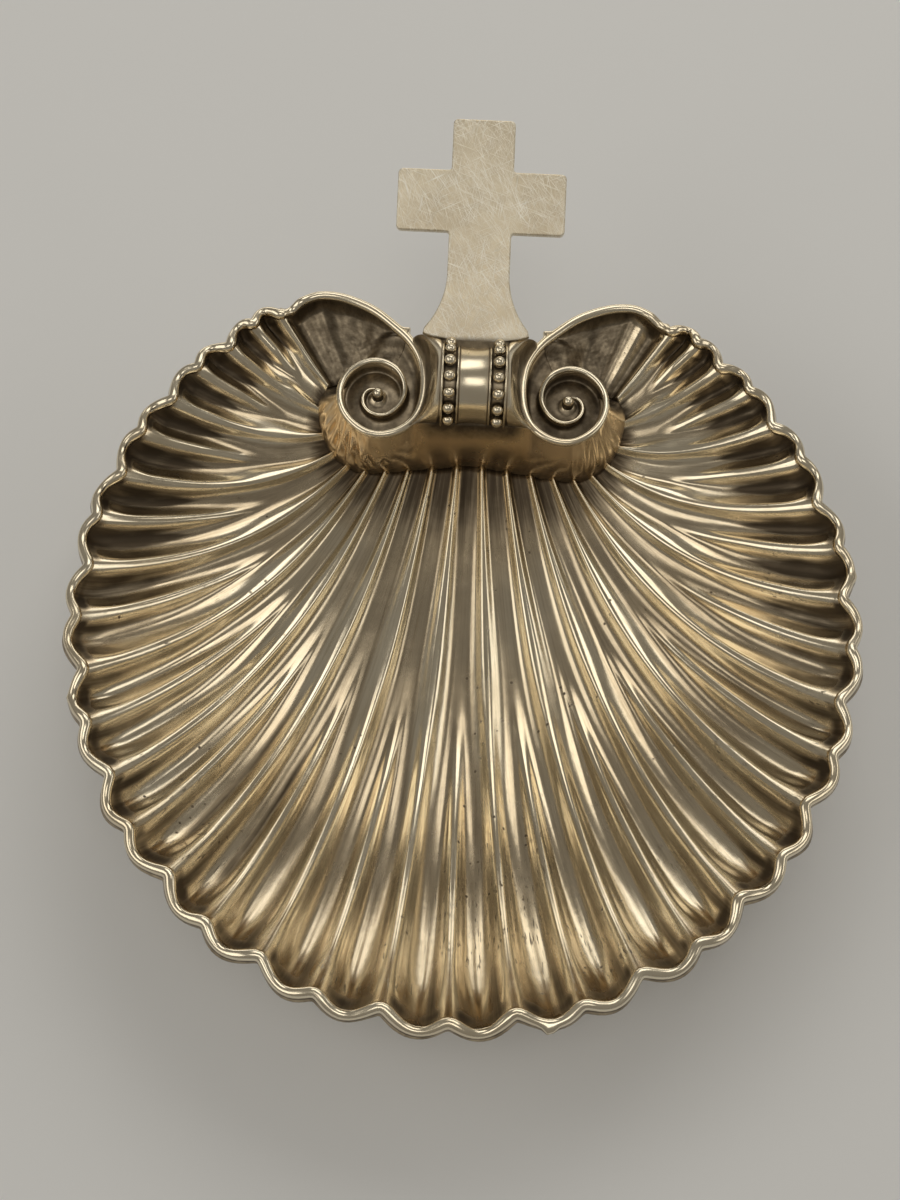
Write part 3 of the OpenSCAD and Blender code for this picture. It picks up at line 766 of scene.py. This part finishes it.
def bowl_tarnish_and_shade(s, t):
    """Dark in the scoops by the rim, at the roots of the channels and on the floors of the ears, with a
    painted brown reflection on the flutes' floors.
    """
    low = flute(s, t)
    _, lane, across = flute_lane(s)
    root = (1 - ramp(t, 0.02, 0.28)) * ramp(low, 0.5, 0.9) * (0.8 + 0.1 * blotches(s, t))
    # Painted brown reflection: the floors of the flutes are darker and browner, less so towards the lip
    painted_reflection = 0.44 * ramp(low, 0.45, 0.85) * (0.85 + 0.2 * np.sin(5.7 * lane))
    painted_reflection = painted_reflection * (1 - 0.4 * ramp(t, 0.7, 0.9))
    # One broad stain low on the left
    stroke = hill(across, -0.2, 0.14) * ramp(t, 0.42, 0.67) * (1 - ramp(t, 0.88, 0.98))
    stroke = stroke * 0.8 * hill(s, -4.6, 1.7)
    fan = np.maximum(np.maximum(scoop_tarnish_and_reflection(s, t), root), np.maximum(painted_reflection, stroke))
    return np.clip(np.where(np.abs(s) < FAN_END, fan, np.maximum(ear_tarnish(s, t), root)), 0, 1)


def build_bowl():
    s, t = np.meshgrid(bowl_columns(), 1 - np.linspace(1, 0, BOWL_ROWS) ** 1.5, indexing="ij")
    points = two_faced(bowl_top(s, t), bowl_low(s, t))
    # Streaks run along the flutes, and turn into blotches on the ears
    past = np.maximum(np.abs(s) - FAN_END, 0)
    lane = s - np.sign(s) * 0.75 * past
    run = t * (0.5 + 0.5 * ramp(past, 0, 0.5))
    piece("fluted_bowl", points, sheet_faces(*s.shape), bowl_silver, ["shell_bowl"], "bowl_silver",
          patina=two_toned(bowl_tarnish_and_shade(s, t), 0.3), lane=np.tile(lane.ravel(), 2),
          run=np.tile(run.ravel(), 2))


# Rolled rim, which curls into both scrolls
RIM_SIDES = 36
CURL_END = 825.0
CURL_STEP = 3.0
ROLL_SHARE = 0.76  # of the rim's radius that the beaten roll keeps
FOLD_OUT = 0.42
# Small crimped nibs left on the outside of the rim: ridge number, height and width
NIBS = ((-24.6, 0.85, 0.2), (24.4, 0.85, 0.2), (-19.15, 0.6, 0.1), (19.3, 0.5, 0.1), (1.45, 0.9, 0.07),
        (-8.5, 0.3, 0.07), (11.4, 0.3, 0.07))


def roll_r(f):
    return WIRE * through(SWELL, f)


def curl_line(f):
    """Middle of the roll round the scroll; its inner turns lie on the face of the scroll."""
    p = about_scroll(f, spiral_r(f))
    turned = EAR_TO + (f - EAR_TO) % 360
    inner = 0.08 + scroll_height(turned, spiral_r(f))
    k = ramp(f, 480, 540)
    return with_z(p, plane_z(p[:, 1]) + 0.4 * ramp(f, 380, 500) * (1 - k) + inner * k)


def build_rim():
    s = bowl_columns()
    a = np.abs(s)
    f = np.arange(EAR_TO + CURL_STEP, CURL_END + 0.1, CURL_STEP)
    curl = curl_line(f)
    plain = np.zeros(len(f))
    # The roll waves up and down over the lobes and swells a little on each
    along_fan = 1 - ramp(a, FAN_END, FAN_END + 1.5)
    wave = 0.34 * np.cos(2 * np.pi * a) + 0.08 * np.sin(5.3 * s + 0.4) + 0.06 * np.sin(9.1 * s)
    fan = with_z(soft_rim_xy(s), rim_z(s) + (wave - 0.3) * along_fan)
    line = np.concatenate([mirrored(curl[::-1], -1), fan, curl])
    beaten = 0.08 * np.cos(2 * np.pi * a) + 0.04 * np.sin(7.7 * s + 1.1)
    beaten = WIRE * (ROLL_SHARE + beaten * along_fan)
    radius = np.concatenate([roll_r(f)[::-1], beaten, roll_r(f)])
    along = unit(np.gradient(line[:, :2], axis=0))
    out = pair(along[:, 1], -along[:, 0])
    nib = sum(size * hill(s, spot, wide) for spot, size, wide in NIBS)
    nib = np.concatenate([plain, nib, plain])
    lip = np.concatenate([plain, 1 - ramp(a, FAN_END - 1, FAN_END + 2), plain])
    # The lower outside of the roll hangs as a second, smaller fold
    turn = 360 * np.arange(RIM_SIDES) / RIM_SIDES
    away = (turn + 180) % 360 - 180
    ragged = 0.8 + 0.3 * np.sin(np.arange(len(line)) * 0.31)
    fold = FOLD_OUT * hill(away, -42, 20)[None, :] * (lip * ragged)[:, None]
    hang = np.maximum(-sind(turn), 0)[None, :] * lip[:, None]
    u = cosd(turn)[None, :] * radius[:, None] + fold
    u = u + nib[:, None] * np.maximum(cosd(turn), 0)[None, :] ** 2
    v = (sind(turn)[None, :] - 0.8 * hang) * radius[:, None]
    ring = with_z(line[:, None, :2] + out[:, None, :] * u[..., None], line[:, None, 2] + v)
    # Painted shade under the roll, and a dark line in the crease above the fold that is partly tarnish and
    # partly painted shade
    fold_tarnish_and_shade = 0.75 * hill(away, -8, 11) + 0.5 * ramp(-away, 8, 33) * ramp(away, -190, -150)
    dark = np.clip(fold_tarnish_and_shade[None, :] * lip[:, None] + 0.06, 0, 1)
    piece("rolled_rim", ring.reshape(-1, 3), tube_faces(len(line), RIM_SIDES), rim_silver, ["rim_roll"],
          "rim_silver", patina=dark)


# Scroll discs with their wound channels, and the eyes
SCROLL_STEPS = 300
SCROLL_RINGS = 90
SCROLL_DEPTH = 3.4
SCROLL_LAP = 4.0  # angle by which the disc reaches under the ear
EYE_STEPS = 40
EYE_ROWS = 16
EYE_STEM = 1.3


def build_scroll(side, word):
    f = np.linspace(EAR_TO - SCROLL_LAP, EAR_TO + 360, SCROLL_STEPS)[:, None]
    r = spiral_r(f) * np.linspace(1, 0.02, SCROLL_RINGS)[None, :]
    f = np.broadcast_to(f, r.shape)
    p = about_scroll(f, r)
    level = plane_z(p[..., 1])
    h = scroll_height(f, r) - 0.05 * (1 - ramp(f, EAR_TO - SCROLL_LAP, EAR_TO + 1))
    dark = np.clip((-h - 0.35) / 0.8, 0, 1) * (0.68 + 0.04 * side)
    points = two_faced(with_z(p, level + h), with_z(p, level - SCROLL_DEPTH))
    piece(word + "_volute", mirrored(points, side), sheet_faces(*r.shape), scroll_silver, [word + "_scroll"],
          "scroll_silver", patina=two_toned(dark, 1.0))


def build_eye(side, word):
    stem = [[0.02, -EYE_STEM], [EYE_R * 1.02, -EYE_STEM]]
    profile = np.concatenate([stem, arc(0, 0, EYE_R, 0, 89, EYE_ROWS)])
    points = lathe(profile, EYE_STEPS) + np.array([SCROLL_X, SCROLL_Y, plane_z(SCROLL_Y) + 0.1])
    dark = np.repeat(np.r_[1, 1, np.linspace(0.6, 0, EYE_ROWS)], EYE_STEPS)
    piece(word + "_scroll_eye", mirrored(points, side), tube_faces(len(profile), EYE_STEPS), scroll_silver,
          [word + "_eye"], "scroll_silver", patina=dark)


# Spool, collars and pearls, turned about the X axis
BAND_IN = 2.3
BAND_OUT = 5.2
CORE_R = SPOOL_R - 1.1
WAIST_R = 16.0  # radius of the hollow along the waist
WAIST_PULL = 1.15
WAIST_STEPS = 40
BED_X = 5.2
BED_OUTER = SPOOL_R + 1.1
BED_INNER = SPOOL_R - 2.2
BED_FROM = -30.0
BED_TO = 43.0
BED_ROWS = 31
BED_STEPS = 40
COLLAR_LIP = 0.36
COLLAR_SEAT = SPOOL_R - 0.1
PEARL_RING = COLLAR_SEAT + PEARL_D / 2
PEARL_X = (BAND_IN + BAND_OUT) / 2
PEARL_STEPS = 24
PEARL_ROWS = 17
TURN_STEPS = 96
BELL_STEPS = 64
BELL_ROWS = 26
BELL_T = 0.5
SHARP = math.radians(40)


def on_axle(points):
    """Turns points made about Z onto the spool's axle."""
    return np.stack([points[:, 2], points[:, 1], -points[:, 0]], -1) + np.array([0, SPOOL_Y, SPOOL_Z])


def about_axle(x, r, turn):
    return np.stack(np.broadcast_arrays(x, SPOOL_Y + r * cosd(turn), SPOOL_Z + r * sind(turn)), -1)


def build_spool():
    x = np.linspace(-BAND_IN, BAND_IN, WAIST_STEPS)
    waist = pair(SPOOL_R + WAIST_R - np.sqrt(WAIST_R ** 2 - (x * WAIST_PULL) ** 2), x)
    core = np.array([[CORE_R, BAND_IN], [CORE_R, FLARE_X], [0.05, FLARE_X]])
    profile = np.concatenate([core[::-1] * np.array([1, -1]), waist, core])
    points = on_axle(lathe(profile, TURN_STEPS))
    dark = np.repeat(np.r_[1, 1, 1, ramp(np.abs(x), BAND_IN - 0.4, BAND_IN) * 0.8, 1, 1, 1], TURN_STEPS)
    # A bed of solder behind the waist, where the cross stands
    ring = np.concatenate([arc(SPOOL_Y, SPOOL_Z, BED_OUTER, BED_FROM, BED_TO, BED_STEPS),
                           arc(SPOOL_Y, SPOOL_Z, BED_INNER, BED_TO, BED_FROM, BED_STEPS)])
    rows = np.linspace(-BED_X, BED_X, BED_ROWS)
    bed = np.concatenate([np.c_[np.full(len(ring), row), ring] for row in rows])
    faces = tube_faces(len(profile), TURN_STEPS) + moved(tube_faces(BED_ROWS, len(ring)), len(points))
    obj = piece("spool_waist", np.concatenate([points, bed]), faces, spool_silver, ["spool"], "spool_silver",
                patina=np.concatenate([dark, np.full(len(bed), 0.6)]))
    obj.data.set_sharp_from_angle(angle=SHARP)


def collar_profile():
    """Radius and place along the axle: a thin lip, the channel of the pearls, a taller lip and the end."""
    bead = COLLAR_LIP / 2
    side = BAND_OUT - 0.15
    end = FLARE_X + 0.35
    inner = arc(SPOOL_R + 0.2, BAND_IN + bead, bead, -90, 90, 9)
    outer = arc(SPOOL_R + 0.6, side - bead, bead, -90, 90, 9)
    channel = [[COLLAR_SEAT + 0.1, BAND_IN + COLLAR_LIP + 0.1], [COLLAR_SEAT, BAND_IN + 0.8],
               [COLLAR_SEAT, side - 0.8], [COLLAR_SEAT + 0.1, side - COLLAR_LIP - 0.1]]
    tail = [[SPOOL_R + 0.4, side + 0.05], [SPOOL_R + 0.2, FLARE_X], [SPOOL_R, end], [SPOOL_R - 1, end]]
    return np.concatenate([[[SPOOL_R - 1, BAND_IN]], inner, channel, outer, tail])


def bell_points():
    """The flared end of the spool, drawn out from the collar to the line of the scroll, as a thin sheet."""
    q = np.linspace(0, 1, BELL_STEPS)[:, None]
    turn, f = 27 + 164 * q, 117 + 115 * q
    back = 1 - ramp(q, 0, 0.28)
    near = about_axle(BAND_OUT - 0.2, SPOOL_R + 0.62 + 0.5 * back, turn)
    rim = about_scroll(f, spiral_r(f) + 0.25)
    far = with_z(rim, plane_z(rim[..., 1]) + 0.45)
    # It leaves the collar level, turns down over a round shoulder and stands up behind to the cross
    waist = near * np.array([0.3, 0.86, 0.86]) + far * np.array([0.7, 0.14, 0.14])
    waist = waist + np.array([0.6, 0.2, 2.4]) * back[..., None]
    w = np.linspace(0, 1, BELL_ROWS)[None, :, None]
    top = near * (1 - w) ** 2 + waist * 2 * w * (1 - w) + far * w * w
    low = top + unit(np.array([9.0, SPOOL_Y + 1, -2.0]) - top) * BELL_T
    ends = 0.5 * (1 - ramp(q, 0, 0.2)) + 0.55 * ramp(q, 0.86, 0.98)
    dark = np.where(w[..., 0] < 0.06, 0.6, 0.04) + ends
    return two_faced(top, low), two_toned(dark, 0.6)


def build_collar(side, word):
    profile = collar_profile()
    points = on_axle(lathe(profile, TURN_STEPS))
    deep = np.clip((SPOOL_R + 0.3 - profile[:, 0]) / 0.35, 0, 1)
    deep = np.where(np.abs(profile[:, 1] - PEARL_X) < 0.8, 0.5, deep)
    bell, bell_dark = bell_points()
    dark = np.concatenate([np.repeat(deep, TURN_STEPS), bell_dark])
    faces = tube_faces(len(profile), TURN_STEPS) + moved(sheet_faces(BELL_STEPS, BELL_ROWS), len(points))
    obj = piece(word + "_bead_collar", mirrored(np.concatenate([points, bell]), side), faces, spool_silver,
                [word + "_collar"], "spool_silver", patina=dark)
    obj.data.set_sharp_from_angle(angle=SHARP)


def build_pearls(side, word):
    ball = lathe(arc(0, 0, PEARL_D / 2, -89, 89, PEARL_ROWS), PEARL_STEPS)
    points, faces, dark = [], [], []
    for k in range(PEARL_COUNT):
        turn = 180 - 360 / PEARL_TURN * k
        size = 1 + 0.03 * math.sin(3.7 * k + side)
        away = (ball @ np.array([0, cosd(turn), sind(turn)])) / (PEARL_D / 2)
        faces += moved(tube_faces(PEARL_ROWS, PEARL_STEPS), k * len(ball))
        points.append(ball * size + about_axle(PEARL_X, PEARL_RING, turn))
        dark.append(np.clip(0.25 - away, 0, 1))
    piece(word + "_pearl_row", mirrored(np.concatenate(points), side), faces, spool_silver,
          [word + "_pearls"], "pearl_silver", patina=np.concatenate(dark))


# Apron wall under the scrolls and the spool
APRON_Y = SPOOL_Y - SPOOL_R + 0.5
APRON_END = 22.4
APRON_STEPS = 309
APRON_ROWS = 40


def hub_xy(s, root):
    """Point behind each root that the wall leans towards: the middle, or the scroll's own."""
    return pair(np.sign(s) * SCROLL_X * ramp(np.abs(root[..., 0]), 6, 14), SCROLL_Y + 4)


def apron_top(s):
    """Top line of the apron: under the scroll rings, and tucked under the spool between them."""
    p = root_xy(np.abs(s))
    v = p - SCROLL
    f = np.degrees(np.arctan2(v[..., 1], v[..., 0]))
    ring = about_scroll(f, spiral_r(np.where(f > 140, f, f + 360)) + 0.1)
    k = ramp(p[..., 0], 6.5, 10.5)[..., None]
    xy = pair(p[..., 0] * 0.95, APRON_Y) * (1 - k) + ring * k
    z = plane_z(xy[..., 1]) - 0.1 - 0.6 * k[..., 0]
    return with_z(xy * pair(np.where(s < 0, -1.0, 1.0), 1.0), z)


def apron_swell(s, h):
    """The wall bulges, with beaten lumps under the left scroll and upright strokes under the right one."""
    a = np.abs(s)
    lumps = 0.5 * np.sin(2.7 * s + 5 * h + 0.6) * np.sin(10 * h - 1.9 * s) + 0.3 * np.sin(6.1 * s + 11 * h)
    strokes = 0.1 * np.sin(4.6 * s + 1.5 * h)
    under = ramp(a, 6, 9) * (1 - ramp(a, 15, 18))
    round_off = sind(180 * np.clip((h - 0.15) / 0.85, 0, 1)) ** 1.2
    return (0.9 + np.where(s < 0, lumps, strokes) * under) * round_off


def apron_wall(s, h, inset):
    """A point on the wall: h runs from the foot to the top, inset moves inside the wall."""
    root, top = root_xy(s), apron_top(s)
    hub = hub_xy(s, root)
    foot = root - unit(hub - root) * 0.3
    z0 = root_z(s) - 0.45 * FLUTE - SHEET
    z1 = np.minimum(bowl_top(s, np.zeros(1))[..., 2] - 0.3, top[..., 2])
    z1 = top[..., 2] + (z1 - top[..., 2]) * ramp(np.abs(s), 16.5, 21.5)
    lean = ramp(h, 0.12, 1)[..., None]
    xy = foot * (1 - lean) + top[..., :2] * lean
    xy = xy + unit(hub - xy) * (inset - apron_swell(s, h))[..., None]
    return with_z(xy, z0 + (z1 - z0) * h)


def build_apron():
    s = np.linspace(-APRON_END, APRON_END, APRON_STEPS)
    s, h = np.meshgrid(s, np.linspace(0, 1, APRON_ROWS), indexing="ij")
    outer, inner = apron_wall(s, h, 0.0), apron_wall(s, h, APRON_T)
    # Painted shade: darker at the foot of the wall, and a painted shadow along its top under the spool
    foot = (1 - ramp(h, 0.1, 0.35)) * 0.55
    middle = ramp(h, 0.6, 1) * (1 - ramp(np.abs(outer[..., 0]), 6, 10)) * 0.75
    dark = np.maximum(np.maximum(foot, middle), 0.8 * ramp(np.abs(s), 15.5, 18.5))
    piece("apron_wall", two_faced(outer, inner), sheet_faces(*s.shape), gilt, ["apron"], "gilt",
          patina=two_toned(dark, 0.6))


# Closing sheet under the hinge
UMBO_STEPS = 201
UMBO_BACK_STEPS = 41
UMBO_RINGS = 24
UMBO_BACK = 4.0
FILE_STROKES = 40


def umbo_loop():
    """Edge of the closing sheet, with its back swept out in a curve."""
    s = np.linspace(-EAR_END, EAR_END, UMBO_STEPS)
    p = root_xy(s)
    edge = p - unit(hub_xy(s, p) - p) * np.where(np.abs(s) > 22, 0.2, 0.5)[:, None]
    k = np.linspace(1, -1, UMBO_BACK_STEPS)[1:-1]
    back = pair(edge[-1, 0] * k, edge[-1, 1] + UMBO_BACK * (1 - k * k))
    loop = np.concatenate([edge, back])
    sheet = np.concatenate([root_z(s), np.full(len(back), root_z(EAR_END))])
    line = with_z(loop, np.minimum(sheet, plane_z(loop[:, 1]) - 3.2) - 2)
    # Its edge is filed to an even line
    for _ in range(FILE_STROKES):
        line = (np.roll(line, 1, 0) + 2 * line + np.roll(line, -1, 0)) / 4
    return line[:, :2], line[:, 2]


def build_umbo():
    loop, edge = umbo_loop()
    middle = np.array([0, SCROLL_Y + 2.8])
    r = np.linspace(0.02, 1, UMBO_RINGS)[:, None, None]
    k = r[..., 0] ** 2
    top = with_z(middle * (1 - r) + loop[None] * r, (dish_z(middle) - 1) * (1 - k) + edge[None] * k)
    low = top - np.array([0, 0, SHEET])
    rings = np.concatenate([top, low[::-1]])
    piece("closing_sheet", rings.reshape(-1, 3), tube_faces(len(rings), len(loop)), back_silver,
          ["umbo_plate"], "back_silver", patina=np.full(rings.shape[:2], 0.4))


# Cross handle
EDGE = 0.22
FOOT_BED = 0.6  # further reach of the foot, down onto the spool
FLARE_H = 0.27 * CROSS_H
ARM_LOW = 0.464 * CROSS_H
ARM_HIGH = ARM_LOW + CROSS_BAR
CORNER_R = 0.8
CORNER_STEPS = 7
FILLET = np.array([[0, 0.4], [0.12, 0.1], [0.4, 0]])
CROSS_SHARP = math.radians(10)


def corner(side_x, y, start):
    """A quarter turn inside the upright side at side_x, about the height y."""
    return arc(side_x - CORNER_R, y, CORNER_R, start, start + 90, CORNER_STEPS)


def cross_outline():
    """Right half of the cross from the foot to the head, then mirrored into a closed loop."""
    half, arm = CROSS_BAR / 2, CROSS_W / 2
    rise = CROSS_FOOT / 2 - half
    flare = (FLARE_H ** 2 + rise ** 2) / (2 * rise)
    sweep = math.degrees(math.asin(FLARE_H / flare))
    hollow = (CROSS_FOOT ** 2 / 4 + CROSS_SAG ** 2) / (2 * CROSS_SAG)
    x = np.linspace(0, CROSS_FOOT / 2 - 0.05, 24)
    foot = pair(x, hollow - CROSS_SAG - np.sqrt(hollow ** 2 - x ** 2) - FOOT_BED)
    side = arc(half + flare, FLARE_H, flare, 180 + sweep, 180, 26)[1:]
    right = np.concatenate([
        foot, side, np.array([half, ARM_LOW]) + FILLET * np.array([1, -1]),
        corner(arm, ARM_LOW + CORNER_R, -90), corner(arm, ARM_HIGH - CORNER_R, 0),
        np.array([half, ARM_HIGH]) + FILLET[::-1], corner(half, CROSS_H - CORNER_R, 0), [[0, CROSS_H]]])
    left = right[1:-1][::-1] * np.array([-1, 1])
    return np.concatenate([right, left])


def inset(loop, d):
    """A closed loop moved inwards by d, corner by corner."""
    before, after = unit(loop - np.roll(loop, 1, 0)), unit(np.roll(loop, -1, 0) - loop)
    mid = unit(before + after)
    normal = pair(-mid[:, 1], mid[:, 0])
    return loop + normal * d / np.maximum((mid * before).sum(-1, keepdims=True), 0.5)


def build_cross():
    loop = cross_outline()
    steps = [(EDGE * (1 - sind(a)), EDGE * (1 - cosd(a))) for a in (0, 30, 60, 90)]
    rings = steps + [(d, CROSS_T - z) for d, z in steps[::-1]]
    points = np.concatenate([np.c_[inset(loop, d), np.full(len(loop), z)] for d, z in rings])
    tilt = Matrix.Rotation(math.radians(CROSS_TILT), 3, "X")
    points = points @ np.array(tilt).T + np.array([0, CROSS_Y, CROSS_Z])
    foot_line = np.clip(1 - (loop[:, 1] + CROSS_SAG) / 0.8, 0, 1) * 0.8
    obj = piece("cross_plate", points, tube_faces(len(rings), len(loop)), cross_silver, ["cross_handle"],
                "cross_silver", patina=np.tile(foot_line, len(rings)))
    obj.data.set_sharp_from_angle(angle=CROSS_SHARP)


# Turned ball feet
FOOT_STEPS = 56
BALL_ROWS = 40
BALL_CUT = 0.86  # height of the ball's middle over its flat, in radii
BALL_TOP = 56.0  # angle at which the neck starts


def build_foot(node, name):
    low, high = (np.array(c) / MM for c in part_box(node))
    top = high[2] + 0.25
    flat = math.degrees(math.acos(BALL_CUT)) - 90
    ball = arc(0, FOOT_R * BALL_CUT, FOOT_R, flat, BALL_TOP, BALL_ROWS)
    sole = [[0.02, 0.0], [ball[0, 0] - 0.1, 0.0]]
    neck = [[FOOT_R * 0.5, ball[-1, 1] + 0.12], [FOOT_R * 0.46, ball[-1, 1] + 0.4]]
    pad = [[FOOT_R * 0.5, top - 0.5], [FOOT_R * 0.66, top - 0.12], [FOOT_R * 0.66, top], [0.02, top]]
    profile = np.concatenate([sole, ball, neck, pad])
    spot = (low + high) / 2
    points = lathe(profile, FOOT_STEPS) + np.array([spot[0], spot[1] + Y_MID, FLOOR_Z])
    # Painted shade: the ball is darker towards the floor, and darker in the neck and at the pad under the
    # bowl
    dark = np.r_[0.6, 0.5, np.linspace(0.35, 0.1, BALL_ROWS), 0.7, 0.8, 0.8, 0.5, 0.6, 0.6]
    piece(name, points, tube_faces(len(profile), FOOT_STEPS), spool_silver, [node], "foot_silver",
          patina=np.repeat(dark, FOOT_STEPS))


build_bowl()
build_rim()
build_spool()
build_apron()
build_umbo()
build_cross()
for side, word in ((-1, "left"), (1, "right")):
    build_scroll(side, word)
    build_eye(side, word)
    build_collar(side, word)
    build_pearls(side, word)
for word in ("front", "left", "right"):
    build_foot(word + "_foot", word + "_ball_foot")


# Floor, light and camera
FLOOR_HALF = 3.0
FLOOR_TONES = (colour(0.78, 0.79, 0.80), colour(0.82, 0.83, 0.84))
SKY_TINT = colour(1.0, 0.94, 0.84)
SKY_STRENGTH = 0.22
# Each lamp's name, place and size in metres, and power in watts
LAMPS = (("key", (0.12, 0.42, 0.62), (0.54, 0.36), 0.95),
         ("fill", (-0.55, -0.15, 0.55), (0.75, 0.36), 1.12),
         ("strip", (0.6, 0.05, 0.35), (0.65, 0.18), 0.45),
         ("low", (0.0, 0.75, 0.17), (0.9, 0.2), 0.8),
         ("front", (0.0, -0.33, 0.96), (0.5, 0.35), 0.85))
LAMP_AIM = Vector((0, 0, 0.02))
LAMP_TINT = (1.0, 0.96, 0.88)
# The camera's height angle, roll, distance and aim, and its focal length with the image 1200 pixels high
VIEW_UP = 62.0
VIEW_ROLL = 2.5
VIEW_DISTANCE = 265.9
VIEW_TARGET = (-2.2, 3.0, 0.0)
FOCAL_PIXELS = 1800.0
IMAGE_H = 1200.0
SENSOR_H = 24.0


def build_floor():
    sh = Shader("pale_floor")
    sh.set(Base_Color=sh.mix(sh.noise(6, 4), *FLOOR_TONES), Roughness=0.85)
    corners = [(x * FLOOR_HALF, y * FLOOR_HALF, 0) for x, y in ((-1, -1), (1, -1), (1, 1), (-1, 1))]
    mesh = bpy.data.meshes.new("floor")
    mesh.from_pydata(corners, [], [(0, 1, 2, 3)])
    mesh.materials.append(sh.material)
    floor = bpy.data.objects.new("floor", mesh)
    bpy.context.scene.collection.objects.link(floor)


def build_lamp(name, spot, size, power):
    data = bpy.data.lights.new(name, "AREA")
    data.shape = "RECTANGLE"
    data.size, data.size_y = size
    data.energy = power
    data.color = LAMP_TINT
    lamp = bpy.data.objects.new(name, data)
    lamp.location = spot
    lamp.rotation_euler = (LAMP_AIM - Vector(spot)).to_track_quat("-Z", "Y").to_euler()
    bpy.context.scene.collection.objects.link(lamp)


def build_light():
    world = bpy.data.worlds.new("studio")
    world.use_nodes = True
    sky = world.node_tree.nodes["Background"]
    sky.inputs["Color"].default_value = SKY_TINT
    sky.inputs["Strength"].default_value = SKY_STRENGTH
    bpy.context.scene.world = world
    for lamp in LAMPS:
        build_lamp(*lamp)


def build_camera():
    data = bpy.data.cameras.new("camera")
    data.sensor_fit = "VERTICAL"
    data.sensor_height = SENSOR_H
    data.lens = FOCAL_PIXELS / IMAGE_H * SENSOR_H
    data.clip_start = 0.01
    up_angle = math.radians(VIEW_UP)
    ahead = Vector((0, math.cos(up_angle), -math.sin(up_angle)))
    right = Vector((1, 0, 0))
    up = right.cross(ahead)
    roll = math.radians(VIEW_ROLL)
    across = right * math.cos(roll) + up * math.sin(roll)
    above = up * math.cos(roll) - right * math.sin(roll)
    pose = Matrix((across, above, -ahead)).transposed().to_4x4()
    pose.translation = Vector(to_part(VIEW_TARGET)) - ahead * VIEW_DISTANCE * MM
    camera = bpy.data.objects.new("camera", data)
    camera.matrix_world = pose
    bpy.context.scene.collection.objects.link(camera)
    bpy.context.scene.camera = camera


build_floor()
build_light()
build_camera()
bpy.context.scene.view_settings.view_transform = "Standard"
